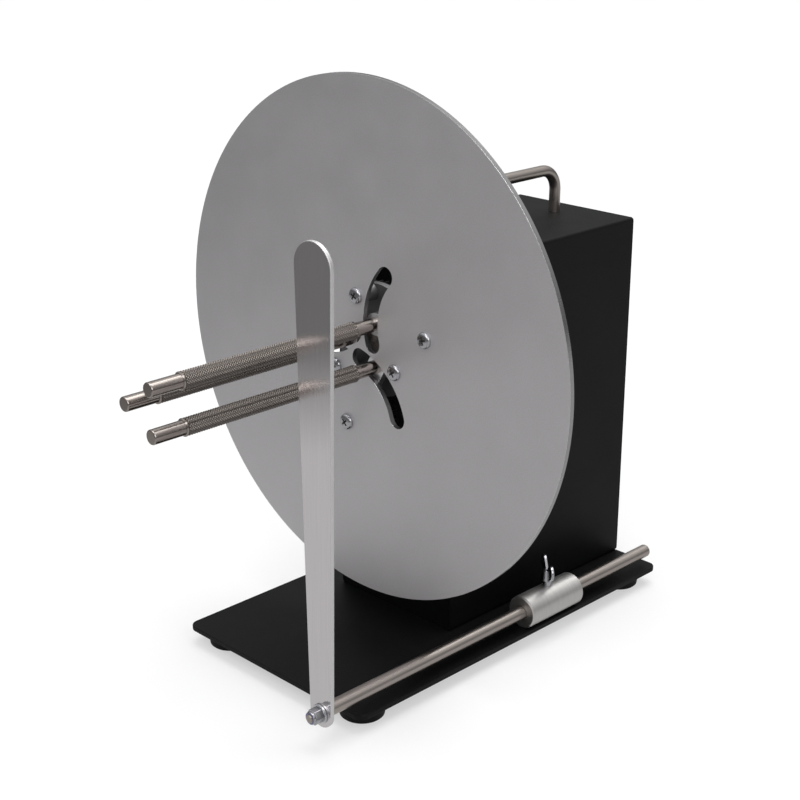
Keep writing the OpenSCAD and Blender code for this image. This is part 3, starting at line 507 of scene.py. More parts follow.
@dataclass(frozen=True)
class Finish:
    """A surface finish: its material slot, its colour and how its texture runs."""

    name: str
    slot: str
    colour: Triple
    roughness: float
    metallic: float = 0.0
    effect: Effect = Effect.GRAIN
    density: float = 1800.0
    stretch: Triple = (1.0, 1.0, 1.0)
    contrast: float = 0.06
    spread: float = 0.03
    relief: float = 0.06
    relief_depth: float = 0.0001
    specular: float = 0.5
    coat: float = 0.0

    def material(self) -> bpy.types.Material:
        """Gives the material, made on first use.

        Returns:
            The material.
        """
        title = f"{self.name}_finish"
        known = bpy.data.materials.get(title)
        if known:
            return known
        material = bpy.data.materials.new(title)
        material.use_nodes = True
        material.diffuse_color = (*self.colour, 1.0)
        material.node_tree.nodes.clear()
        wiring = Wiring(material.node_tree)
        place = wiring.add("ShaderNodeTexCoord").outputs["Object"]
        run = wiring.add("ShaderNodeMapping", {"Vector": place, "Scale": self.stretch})
        group = wiring.add("ShaderNodeGroup", node_tree=EffectGroup(self.effect).tree())
        feeds = {
            "Colour": (*self.colour, 1.0), "Density": self.density, "Contrast": self.contrast,
            "Roughness": self.roughness, "Spread": self.spread,
        }
        for key, value in feeds.items():
            group.inputs[key].default_value = value
        material.node_tree.links.new(run.outputs["Vector"], group.inputs["Vector"])
        relief = {
            "Height": group.outputs["Height"], "Strength": self.relief,
            "Distance": self.relief_depth,
        }
        bump = wiring.add("ShaderNodeBump", relief)
        surface = {
            "Base Color": group.outputs["Colour"], "Roughness": group.outputs["Roughness"],
            "Normal": bump.outputs["Normal"], "Metallic": self.metallic, "Coat Weight": self.coat,
            "Specular IOR Level": self.specular,
        }
        shader = wiring.add("ShaderNodeBsdfPrincipled", surface)
        wiring.add("ShaderNodeOutputMaterial", {"Surface": shader.outputs["BSDF"]})
        return material


ALONG_Y = (1.0, 0.02, 1.0)
ALONG_Z = (1.0, 1.0, 0.02)
ACROSS_Y = (0.04, 1.0, 0.04)
POWDER_BLACK = Finish(
    "powder_black", "powder_black", (0.0042, 0.0042, 0.0045), roughness=0.5, effect=Effect.POWDER,
    density=1500.0, contrast=0.12, spread=0.04, relief=0.18, relief_depth=0.0002, specular=0.12,
)
RUBBER_BLACK = Finish(
    "rubber_black", "rubber_black", (0.0026, 0.0026, 0.0028), roughness=0.66,
    effect=Effect.MOULDED, contrast=0.2, relief=0.15, spread=0.06, specular=0.14,
)
BLACK_PLASTIC = Finish(
    "black_plastic", "black_plastic", (0.014, 0.014, 0.015), roughness=0.42,
    effect=Effect.MOULDED, density=2600.0, contrast=0.12, relief=0.1,
)
SATIN_ALUMINIUM = Finish(
    "satin_aluminium", "satin_aluminium", (0.73, 0.716, 0.73), roughness=0.6, metallic=1.0,
    density=1500.0, contrast=0.05, spread=0.02, relief=0.1,
)
SMOOTH_ALUMINIUM = Finish(
    "smooth_aluminium", "satin_aluminium", (0.715, 0.685, 0.695), roughness=0.1, metallic=1.0,
    density=2200.0, stretch=ALONG_Z, contrast=0.03, spread=0.02, relief=0.1,
)
CUT_ALUMINIUM = Finish(
    "cut_aluminium", "satin_aluminium", (0.76, 0.75, 0.755), roughness=0.5, metallic=1.0,
    density=2400.0, contrast=0.08, relief=0.1,
)
# Painted shade: a darker copy of the satin aluminium, for the disc's outer rim.
SHADED_RIM = Finish(
    "shaded_rim", "satin_aluminium", (0.38, 0.375, 0.38), roughness=0.25, metallic=1.0,
    density=2400.0, contrast=0.1, relief=0.1,
)
# Painted shade: a darker copy of the satin aluminium, for the walls of the disc's slots.
SLOT_WALL_SHADE = Finish(
    "painted_shade_slot_wall", "satin_aluminium", (0.26, 0.255, 0.26), roughness=0.5, metallic=1.0,
    density=2400.0, contrast=0.1, relief=0.1,
)
# Painted highlight: a lighter copy of the satin aluminium, for the chamfers round the disc's rim
# and slots.
CHAMFER_HIGHLIGHT = Finish(
    "painted_highlight_chamfer", "satin_aluminium", (0.92, 0.92, 0.92), roughness=0.25, metallic=1.0,
    density=2400.0, contrast=0.05, relief=0.05,
)
# Painted shade: a dark copy of the turned aluminium, for the hub and its spacers behind the disc.
HUB_SHADE_ALUMINIUM = Finish(
    "painted_shade_aluminium", "turned_aluminium", (0.26, 0.26, 0.265), roughness=0.5, metallic=1.0,
    contrast=0.08, relief=0.1,
)
CLAMP_ALUMINIUM = Finish(
    "clamp_aluminium", "turned_aluminium", (0.62, 0.605, 0.59), roughness=0.42, metallic=1.0,
    stretch=ACROSS_Y, contrast=0.07, relief=0.12,
)
TURNED_ALUMINIUM = Finish(
    "turned_aluminium", "turned_aluminium", (0.76, 0.76, 0.77), roughness=0.3, metallic=1.0,
    stretch=ACROSS_Y, contrast=0.07, relief=0.12,
)
STAINLESS = Finish(
    "stainless", "stainless", (0.41, 0.368, 0.34), roughness=0.3, metallic=1.0,
    density=2200.0, stretch=ALONG_Y, contrast=0.1, relief=0.08, spread=0.05,
)
KNURLED_STAINLESS = Finish(
    "knurled_stainless", "stainless", (0.17, 0.151, 0.138), roughness=0.32, metallic=1.0,
    density=2200.0, contrast=0.1, relief=0.05,
)
POLISHED_STAINLESS = Finish(
    "polished_stainless", "stainless", (0.36, 0.32, 0.296), roughness=0.19, metallic=1.0,
    density=2200.0, relief=0.03,
)
ZINC_STEEL = Finish(
    "zinc_steel", "zinc_steel", (0.62, 0.63, 0.65), roughness=0.28, metallic=1.0,
    density=1400.0, contrast=0.08, spread=0.06,
)
DARK_ZINC = Finish(
    "dark_zinc", "zinc_steel", (0.45, 0.45, 0.475), roughness=0.18, metallic=1.0,
    density=1400.0, contrast=0.1, spread=0.06,
)
# Painted shade: a dark, matt colour for the sunk crosses of the screw heads.
RECESS_SHADE = Finish(
    "recess_shade", "zinc_steel", (0.05, 0.05, 0.052), roughness=0.6, density=1400.0, contrast=0.2,
)
LOCK_NYLON = Finish(
    "lock_nylon", "zinc_steel", (0.1, 0.11, 0.22), roughness=0.35, effect=Effect.MOULDED,
    density=2600.0,
)
GEAR_STEEL = Finish(
    "gear_steel", "gear_steel", (0.05, 0.05, 0.054), roughness=0.4, metallic=1.0,
    density=1600.0, contrast=0.2,
)
BRASS = Finish(
    "brass", "brass", (0.66, 0.44, 0.15), roughness=0.28, metallic=1.0, density=1600.0,
    contrast=0.08,
)
BOARD_GREEN = Finish(
    "board_green", "board_green", (0.012, 0.075, 0.032), roughness=0.34, effect=Effect.MOULDED,
    contrast=0.25, coat=0.3,
)
BOARD_PARTS = Finish(
    "board_parts", "board_parts", (0.03, 0.032, 0.045), roughness=0.4, effect=Effect.MOULDED,
    contrast=0.3,
)
LEAD_RED = Finish(
    "lead_red", "lead_red", (0.3, 0.014, 0.01), roughness=0.45, effect=Effect.MOULDED,
    contrast=0.15,
)
NYLON_WHITE = Finish(
    "nylon_white", "nylon_white", (0.68, 0.67, 0.63), roughness=0.5, effect=Effect.MOULDED,
)


@dataclass
class SubAssembly:
    """Hands finished pieces over to the part's frame."""

    datum: Datum

    def hand_over(
        self, piece: bpy.types.Object, body: str, finish: Finish, *nodes: str,
        extra: Sequence[Finish] = (),
    ) -> None:
        """Dresses a piece, ties it to the body that it moves with and reports it.

        Args:
            piece: The finished piece.
            body: The body that it moves with.
            finish: Its finish.
            nodes: Solids that it stands for.
            extra: Further finishes, for faces marked with the second, third and so on.
        """
        for given in (finish, *extra):
            piece.data.materials.append(given.material())
        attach(piece, body)
        if nodes:
            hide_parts(*nodes)
        LOG.info("%s on %s: %d faces, %s", piece.name, body, len(piece.data.polygons), finish.name)

    def bevelled_copy(self, node: str, body: str, finish: Finish, width: float) -> None:
        """Puts a copy of a solid with softened edges in its place.

        Args:
            node: The solid.
            body: The body that it moves with.
            finish: Its finish.
            width: Width of the bevels.
        """
        piece = Workpiece.copy_of(node).softened(width)
        self.hand_over(piece.finished(f"{node}_edged"), body, finish, node)


@dataclass
class PanScrew:
    """Screw with a domed head and a cross recess, its head upwards from zero."""

    head_d: float
    head_h: float
    shank_d: float
    shank: float
    crown: float = 0.25
    land_share: float = 0.33
    seat_edge: float = 0.15
    dome_share: float = 0.7
    dome_rise: float = 0.2
    dome_sweep: float = 60.0
    dome_steps: int = 6
    cross_w: float = 0.5
    cross_t: float = 0.12
    cross_depth: float = 0.62
    cross_taper: float = 0.62
    steps: int = 48

    def made(self, turn: float) -> Workpiece:
        """Builds the screw.

        Args:
            turn: Direction of the cross, in degrees.

        Returns:
            The screw.
        """
        rim, land, shank = self.head_d / 2, self.head_d * self.land_share, self.shank_d / 2
        dome = self.head_h * self.dome_share
        centre = (rim - dome, self.head_h * self.dome_rise)
        profile = [
            (0.0, -self.shank), (shank, -self.shank), (shank, 0.0), (rim - self.seat_edge, 0.0),
            *arc(centre, dome, 0, self.dome_sweep, self.dome_steps),
            (land, self.head_h - self.crown),
        ]
        return Workpiece.lathe(profile, self.steps).joined([self.recess(land, turn)]).tidied()

    def recess(self, land: float, turn: float) -> Workpiece:
        """Builds the crowned top with the cross sunk into it.

        Args:
            land: Radius of the top.
            turn: Direction of the cross, in degrees.

        Returns:
            The top, open at its rim.
        """
        long, thin = self.head_d * self.cross_w / 2, self.head_d * self.cross_t / 2
        arm = [(long, -thin), (long, thin), (thin, thin)]
        spokes = [Matrix.Rotation(math.radians(turn + 90 * k), 2) for k in range(4)]
        outline = [tuple(spoke @ Vector(p)) for spoke in spokes for p in arm]
        top = Workpiece()
        rim, cross = top.loop(circle(land, self.steps)), top.loop(outline)
        bmesh.ops.triangle_fill(top.mesh, use_beauty=True, edges=rim + cross, normal=(0, 0, 1))
        sunk = bmesh.ops.extrude_edge_only(top.mesh, edges=cross)["geom"]
        floor = [g for g in sunk if isinstance(g, bmesh.types.BMVert)]
        bmesh.ops.scale(top.mesh, vec=(self.cross_taper, self.cross_taper, 1.0), verts=floor)
        bmesh.ops.translate(top.mesh, vec=(0, 0, -self.head_h * self.cross_depth), verts=floor)
        edges = [g for g in sunk if isinstance(g, bmesh.types.BMEdge) and g.is_boundary]
        bmesh.ops.edgeloop_fill(top.mesh, edges=edges)
        # Faces of the sunk cross take the second finish, painted shade.
        for face in top.mesh.faces:
            face.material_index = int(any(vert in floor for vert in face.verts))
        for vert in top.mesh.verts:
            vert.co.z += self.head_h - self.crown * (vert.co.xy.length / land) ** 2
        return top


@dataclass
class WindingDisc(SubAssembly):
    """Disc with three curved slots and the screws on its face."""

    radius: float = 150.0
    thickness: float = 3.0
    edge: float = 0.6
    rim_steps: int = 256
    slot_w: float = 11.4
    slot_sweep: float = 59.0
    slot_steps: tuple[int, int] = (28, 20)
    slot_end_steps: int = 12
    ring_r: float = 28.0
    ring_turn: float = 98.5
    screw_head_d: float = 9.4
    screw_head_h: float = 2.6
    screw_shank_d: float = 4.9
    pivot_shank: float = 12.0
    pivot_crosses: Triple = (18.0, 71.0, 40.0)
    hub_shank: float = 15.9
    hub_crosses: Triple = (62.0, 5.0, 33.0)

    def slot(self, pivot: float) -> list[Point]:
        """Outlines the slot that runs about one pivot.

        Args:
            pivot: Direction of the pivot, in degrees.

        Returns:
            The outline.
        """
        centre, run, half = polar(self.datum.pivot_r, pivot), self.datum.swing_r, self.slot_w / 2
        last = pivot + 180
        first = last - self.slot_sweep
        outer = arc(centre, run + half, first, last, self.slot_steps[0])
        inner = arc(centre, run - half, last, first, self.slot_steps[1])
        closed_end, open_end = arc(centre, run, last, first, 1)
        far = arc(closed_end, half, last, last + 180, self.slot_end_steps)
        near = arc(open_end, half, first + 180, first + 360, self.slot_end_steps)
        return outer[:-1] + far[:-1] + inner[:-1] + near[:-1]

    def build(self) -> None:
        """Builds the disc and its six screws."""
        datum = self.datum
        slots = [self.slot(datum.pivot_turn + THIRD_TURN * k) for k in range(3)]
        disc = Workpiece.plate([circle(self.radius, self.rim_steps), *slots], self.thickness)
        disc.softened(self.edge, segments=1).rimmed()
        # The outer rim gets painted shade, the chamfers a painted highlight, and the slot walls,
        # picked out here by their distance from the spindle, painted shade.
        for face in disc.mesh.faces:
            inside = face.calc_center_median().xy.length < datum.pivot_r
            if face.material_index == 1 and inside:
                face.material_index = 3
        disc = disc.finished("winding_disc", datum.facing(depth=self.thickness))
        edges = (SHADED_RIM, CHAMFER_HIGHLIGHT, SLOT_WALL_SHADE)
        self.hand_over(disc, "spindle", SATIN_ALUMINIUM, "disc", extra=edges)
        pivots, ring = (datum.pivot_r, datum.pivot_turn), (self.ring_r, self.ring_turn)
        self.screws("pivot_screws", pivots, self.pivot_shank, self.pivot_crosses)
        self.screws("hub_screws", ring, self.hub_shank, self.hub_crosses)

    def screws(self, node: str, first: Point, shank: float, crosses: Triple) -> None:
        """Builds a ring of three screws.

        Args:
            node: The solid that they stand for.
            first: Distance of the screws from the spindle, and direction of the first in degrees.
            shank: Length below the head.
            crosses: Direction of each cross, in degrees.
        """
        ring, (radius, turn) = Workpiece(), first
        screw = PanScrew(self.screw_head_d, self.screw_head_h, self.screw_shank_d, shank)
        for k, cross in enumerate(crosses):
            spot = (*polar(radius, turn + THIRD_TURN * k), 0.0)
            ring.joined([screw.made(cross).moved(Matrix.Translation(spot))])
        ring = ring.finished(f"{node}_crossed", self.datum.facing())
        self.hand_over(ring, "spindle", DARK_ZINC, node, extra=(RECESS_SHADE,))


@dataclass
class CorePosts(SubAssembly):
    """Three turned posts with a diamond knurl between a smooth root and a smooth tip."""

    rest_swing: float = 14.0
    tail: float = -8.4
    neck: Point = (-7.4, -3.4)
    neck_r: float = 3.0
    root_r: float = 4.0
    root_edge: float = 0.6
    knurl_from: float = 13.5
    knurl_to: float = 131.4
    knurl_r: float = 4.9
    knurl_depth: float = 0.38
    columns: int = 40
    rows: int = 150
    shoulder: float = 132.0
    shoulder_r: float = 4.3
    tip: float = 151.5
    tip_r: float = 4.05
    tip_edge: float = 0.65
    tip_round: Point = (0.2, 0.22)
    crease: float = 8.0

    @property
    def pitch(self) -> float:
        """Gives the height of one row of the knurl."""
        return (self.knurl_to - self.knurl_from) / self.rows

    def build(self) -> None:
        """Builds the three posts in their slots."""
        for k in range(3):
            pivot = self.datum.pivot_turn + THIRD_TURN * k
            base = polar(self.datum.pivot_r, pivot)
            reach = polar(self.datum.swing_r, pivot + 180 - self.rest_swing)
            place = self.datum.facing(base[0] + reach[0], 0.0, base[1] + reach[1])
            name, body = f"core_post_{k + 1}", f"post_{k + 1}"
            post = self.post().finished(f"{name}_knurled", place, self.crease)
            self.hand_over(post, body, KNURLED_STAINLESS, name, extra=(POLISHED_STAINLESS,))

    def profile(self) -> list[Point]:
        """Outlines a post from the end of its tail to the end of its tip.

        Returns:
            Points as radius and height.
        """
        root, tip_r, tip = self.root_r, self.tip_r, self.tip
        low, high = self.neck
        return [
            (0.0, self.tail), (root, self.tail), (root, low), (self.neck_r, low),
            (self.neck_r, high), (root, high), (root, self.knurl_from - self.root_edge),
            *((self.knurl_r, self.knurl_from + self.pitch * k) for k in range(self.rows + 1)),
            (self.shoulder_r, self.shoulder), (tip_r, self.shoulder), (tip_r, tip - self.tip_edge),
            (tip_r - self.tip_round[0], tip - self.tip_round[1]), (tip_r - self.tip_edge, tip),
            (0.0, tip),
        ]

    def post(self) -> Workpiece:
        """Turns one post and cuts its knurl.

        Returns:
            The post, its axis along z and its tip upwards.
        """
        start, end, pitch = self.knurl_from, self.knurl_to, self.pitch
        post = Workpiece.lathe(self.profile(), self.columns)
        for vert in post.mesh.verts:
            if start + pitch / 2 < vert.co.z < end - pitch / 2:
                row = round((vert.co.z - start) / pitch)
                column = round(math.atan2(vert.co.y, vert.co.x) / math.tau * self.columns)
                if (row + column) % 2:
                    vert.co.xy *= 1 - self.knurl_depth / self.knurl_r
        cut = [f for f in post.mesh.faces if start < f.calc_center_median().z < end]
        bmesh.ops.triangulate(post.mesh, faces=cut, quad_method="SHORT_EDGE")
        for face in post.mesh.faces:
            face.material_index = int(not start < face.calc_center_median().z < end)
        return post


@dataclass
class DriveHead(SubAssembly):
    """Hub, swing arms and sync gears between the disc and the housing."""

    edge: float = 0.15
    tooth_edge: float = 0.075

    def build(self) -> None:
        """Puts softened copies in place of the solids that show behind the disc."""
        # The hub and its spacers take a painted-shade copy of the turned aluminium.
        for node, finish in (
            ("hub", HUB_SHADE_ALUMINIUM), ("hub_spacers", HUB_SHADE_ALUMINIUM), ("shaft_clips", GEAR_STEEL),
            ("pivot_pins", GEAR_STEEL),
        ):
            self.bevelled_copy(node, "spindle", finish, self.edge)
        self.bevelled_copy("sync_gear", "sync_gear", GEAR_STEEL, self.tooth_edge)
        for k in (1, 2, 3):
            self.bevelled_copy(f"swing_arm_{k}", f"post_{k}", TURNED_ALUMINIUM, self.edge)
            self.bevelled_copy(f"arm_gear_{k}", f"post_{k}", GEAR_STEEL, self.tooth_edge)


@dataclass
class RubberFoot:
    """Tapered foot with a sunk hole for its screw, its sole at zero."""

    height: float = 9.0
    bore_r: float = 2.1
    top_r: float = 14.0
    top_edge: float = 0.4
    heel: Profile = ((12.6, 0.9), (11.8, 0.15), (11.2, 0.0))
    sink_r: float = 4.8
    sink_depth: float = 4.0
    sink_edge: Point = (0.6, 0.5)
    steps: int = 48

    def made(self) -> Workpiece:
        """Turns the foot.

        Returns:
            The foot.
        """
        profile = [
            (self.bore_r, self.height), (self.top_r - self.top_edge, self.height),
            (self.top_r, self.height - self.top_edge), *self.heel,
            (self.sink_r + self.sink_edge[0], 0.0), (self.sink_r, self.sink_edge[1]),
            (self.sink_r, self.sink_depth), (self.bore_r, self.sink_depth),
        ]
        return Workpiece.lathe(profile, self.steps, closed=True)


@dataclass
class Housing(SubAssembly):
    """Folded cover on the base plate, with its end panels and the feet below."""

    width: float = 93.5
    front: float = 30.0
    sheet: float = 1.5
    bend: float = 0.5
    bend_steps: int = 6
    lip: float = 14.0
    sheet_edge: float = 0.3
    sheet_crease: float = 60.0
    base_w: float = 150.0
    base_front: float = -74.0
    base_t: float = 3.0
    base_corner: float = 6.0
    base_edge: float = 0.4
    foot_inset: float = 18.0
    foot_cross: float = 30.0
    foot_head_d: float = 7.6
    foot_head_h: float = 2.4
    foot_shank_d: float = 3.9
    foot_shank_short: float = 0.3

    def section(self) -> list[Point]:
        """Outlines the folded sheet as a C that is open below.

        Returns:
            The outline, about the cover's middle.
        """
        height = self.datum.cover_top - self.datum.base_top
        width, steps = self.width, self.bend_steps
        gap, low = width / 2 - self.lip, -height / 2
        start = 3 * (steps + 1)
        outer = round_rect(width, height, self.bend + self.sheet, steps)
        inner = round_rect(width - 2 * self.sheet, height - 2 * self.sheet, self.bend, steps)
        outside = [(gap, low), *outer[start:], *outer[:start], (-gap, low)]
        rise = low + self.sheet
        inside = [(gap, rise), *inner[start:], *inner[:start], (-gap, rise)]
        return outside + inside[::-1]

    def build(self) -> None:
        """Builds the cover, the panels, the base plate and the feet."""
        datum, rear = self.datum, self.datum.rear
        cover = Workpiece.plate([self.section()], rear - self.front)
        cover.softened(self.sheet_edge, crease=self.sheet_crease)
        place = datum.facing(datum.cover_x, rear, (datum.cover_top + datum.base_top) / 2)
        self.hand_over(cover.finished("cover_sheet", place), "stand", POWDER_BLACK, "cover")
        for node in ("front_panel", "rear_panel"):
            self.bevelled_copy(node, "stand", POWDER_BLACK, self.sheet_edge)
        outline = round_rect(self.base_w, rear - self.base_front, self.base_corner)
        base = Workpiece.plate([outline], self.base_t).softened(self.base_edge)
        place = datum.at(0.0, (rear + self.base_front) / 2, datum.base_top - self.base_t)
        self.hand_over(base.finished("base_sheet", place), "stand", POWDER_BLACK, "base_plate")
        self.feet()

    def feet(self) -> None:
        """Builds the four turned rubber feet and the screws in them."""
        datum, foot = self.datum, RubberFoot()
        low = datum.base_top - self.base_t - foot.height
        hold = foot.height - foot.sink_depth + self.base_t
        screw = PanScrew(
            self.foot_head_d, self.foot_head_h, self.foot_shank_d, hold - self.foot_shank_short,
        )
        feet, screws = Workpiece(), Workpiece()
        x = self.base_w / 2 - self.foot_inset
        for side in (-x, x):
            for depth in (self.base_front + self.foot_inset, datum.rear - self.foot_inset):
                feet.joined([foot.made().moved(datum.at(side, depth, low))])
                seat = datum.at(side, depth, low + foot.sink_depth)
                below = seat @ Matrix.Rotation(math.pi, 4, "X")
                screws.joined([screw.made(self.foot_cross).moved(below)])
        self.hand_over(feet.finished("rubber_feet"), "stand", RUBBER_BLACK, "feet")
        screws = screws.finished("foot_screws_crossed")
        self.hand_over(screws, "stand", ZINC_STEEL, "foot_screws", extra=(RECESS_SHADE,))


@dataclass
class CarryHandle(SubAssembly):
    """Bent bar on top of the cover."""

    bar_r: float = 3.5
    span: float = 120.0
    rise: float = 26.5
    bend: float = 13.0
    bend_steps: int = 14
    middle: float = 110.0
    sides: int = 40

    def build(self) -> None:
        """Sweeps the bar up one leg, over the top and down the other leg."""
        bar = Workpiece()
        leg, run = self.rise - self.bend, self.span - 2 * self.bend
        ring = bmesh.ops.create_circle(
            bar.mesh, segments=self.sides, radius=self.bar_r, cap_ends=False,
        )
        ends = list({e for v in ring["verts"] for e in v.link_edges})
        ends = self.pushed(bar, ends, (0.0, 0.0, leg))
        ends = self.turned(bar, ends, (0.0, self.bend, leg))
        ends = self.pushed(bar, ends, (0.0, run, 0.0))
        ends = self.turned(bar, ends, (0.0, self.span - self.bend, leg))
        self.pushed(bar, ends, (0.0, 0.0, -leg))
        datum = self.datum
        place = datum.at(datum.cover_x, self.middle - self.span / 2, datum.cover_top)
        handle = bar.closed().finished("handle_bar", place)
        self.hand_over(handle, "stand", STAINLESS, "carry_handle")

    @staticmethod
    def pushed(
        bar: Workpiece, ends: list[bmesh.types.BMEdge], step: Triple,
    ) -> list[bmesh.types.BMEdge]:
        """Draws the bar's open end straight on.

        Args:
            bar: The bar.
            ends: Edges of its open end.
            step: How far to draw it.

        Returns:
            The edges of the new end.
        """
        made = bmesh.ops.extrude_edge_only(bar.mesh, edges=ends)["geom"]
        verts = [g for g in made if isinstance(g, bmesh.types.BMVert)]
        bmesh.ops.translate(bar.mesh, verts=verts, vec=step)
        return [g for g in made if isinstance(g, bmesh.types.BMEdge) and g.is_boundary]

    def turned(
        self, bar: Workpiece, ends: list[bmesh.types.BMEdge], centre: Triple,
    ) -> list[bmesh.types.BMEdge]:
        """Bends the bar's open end over by a quarter turn.

        Args:
            bar: The bar.
            ends: Edges of its open end.
            centre: Centre of the bend.

        Returns:
            The edges of the new end.
        """
        verts = list({v for e in ends for v in e.verts})
        made = bmesh.ops.spin(
            bar.mesh, geom=verts + ends, cent=centre, axis=(-1, 0, 0), dvec=(0, 0, 0),
            angle=math.pi / 2, steps=self.bend_steps,
        )
        return [g for g in made["geom_last"] if isinstance(g, bmesh.types.BMEdge)]


@dataclass
class Guide(SubAssembly):
    """Guide rod with the guide arm, the washer and the locking nut at its front."""

    rod_r: float = 4.0
    rod_edge: float = 0.2
    rod_rear: float = 186.0
    rear_edge: float = 1.0
    rear_round: Point = (0.35, 0.3)
    stud_r: float = 2.5
    stud_edge: float = 0.5
    stud_end: float = -104.9
    shoulder: float = -93.9
    arm_front: float = -96.5
    arm_t: float = 2.5
    arm_h: float = 242.0
    arm_top: float = 13.25
    arm_foot: float = 8.1
    arm_edge: float = 0.4
    arm_steps: tuple[int, int] = (40, 32)
    stud_play: float = 0.02
    washer: Point = (-97.8, -96.6)
    washer_r: float = 5.5
    washer_edge: float = 0.3
    nut_flat: float = 4.0
    nut_h: float = 5.0
    nut_edge: float = 0.45
    collar: Profile = ((3.2, -6.3), (3.55, -6.1), (3.7, -5.6), (3.7, -4.9))
    collar_front: float = -0.9
    steps: int = 48

    def build(self) -> None:
        """Builds the rod, the arm, the washer and the nut."""
        stud, rod, front, rear = self.stud_r, self.rod_r, self.stud_end, self.rod_rear
        profile = [
            (0.0, front), (stud - self.stud_edge, front), (stud, front + self.stud_edge),
            (stud, self.shoulder), (rod - self.rod_edge, self.shoulder),
            (rod, self.shoulder + self.rod_edge), (rod, rear - self.rear_edge),
            (rod - self.rear_round[0], rear - self.rear_round[1]), (rod - self.rear_edge, rear),
            (0.0, rear),
        ]
        place = self.datum.backing(self.datum.rod_x, 0.0, self.datum.rod_z)
        bar = Workpiece.lathe(profile, self.steps).finished("guide_bar", place)
        self.hand_over(bar, "guide_rod", STAINLESS, "guide_rod")
        self.arm()
        self.fastening(place)

    def arm(self) -> None:
        """Builds the tapered arm with its round ends."""
        lean = math.degrees(math.asin((self.arm_top - self.arm_foot) / self.arm_h))
        top = arc((0.0, self.arm_h), self.arm_top, -lean, 180 + lean, self.arm_steps[0])
        foot = arc((0.0, 0.0), self.arm_foot, 180 + lean, 360 - lean, self.arm_steps[1])
        arm = Workpiece.plate([top + foot], self.arm_t).softened(self.arm_edge).rimmed()
        datum, back = self.datum, self.arm_front + self.arm_t
        arm = arm.finished("guide_blade", datum.facing(datum.rod_x, back, datum.rod_z))
        edges = (CUT_ALUMINIUM, CUT_ALUMINIUM)
        self.hand_over(arm, "guide_arm", SMOOTH_ALUMINIUM, "guide_arm", extra=edges)

    def fastening(self, place: Matrix) -> None:
        """Builds the washer and the locking nut on the stud.

        Args:
            place: The rod's own frame, its z to the rear.
        """
        bore, edge, (near, far) = self.stud_r + self.stud_play, self.washer_edge, self.washer
        rim, land = self.washer_r, self.washer_r - edge
        profile = [
            (bore, near), (land, near), (rim, near + edge), (rim, far - edge), (land, far),
            (bore, far),
        ]
        washer = Workpiece.lathe(profile, self.steps, closed=True).finished("stud_washer", place)
        self.hand_over(washer, "guide_rod", ZINC_STEEL, "guide_washer")
        corner = self.nut_flat / math.cos(math.radians(30))
        nut = Workpiece.plate([circle(corner, 6)], self.nut_h).softened(self.nut_edge, segments=3)
        nut.moved(Matrix.Translation((0, 0, near - self.nut_h)))
        profile = [(bore, self.collar[0][1]), *self.collar, (bore, self.collar[-1][1])]
        collar = Workpiece.lathe(profile, self.steps, closed=True)
        collar.moved(Matrix.Translation((0, 0, near)))
        for face in collar.mesh.faces:
            face.material_index = int(face.normal.z < self.collar_front)
        nut = nut.joined([collar]).finished("stud_nut", place)
        self.hand_over(nut, "guide_rod", DARK_ZINC, "guide_nut", extra=(LOCK_NYLON,))


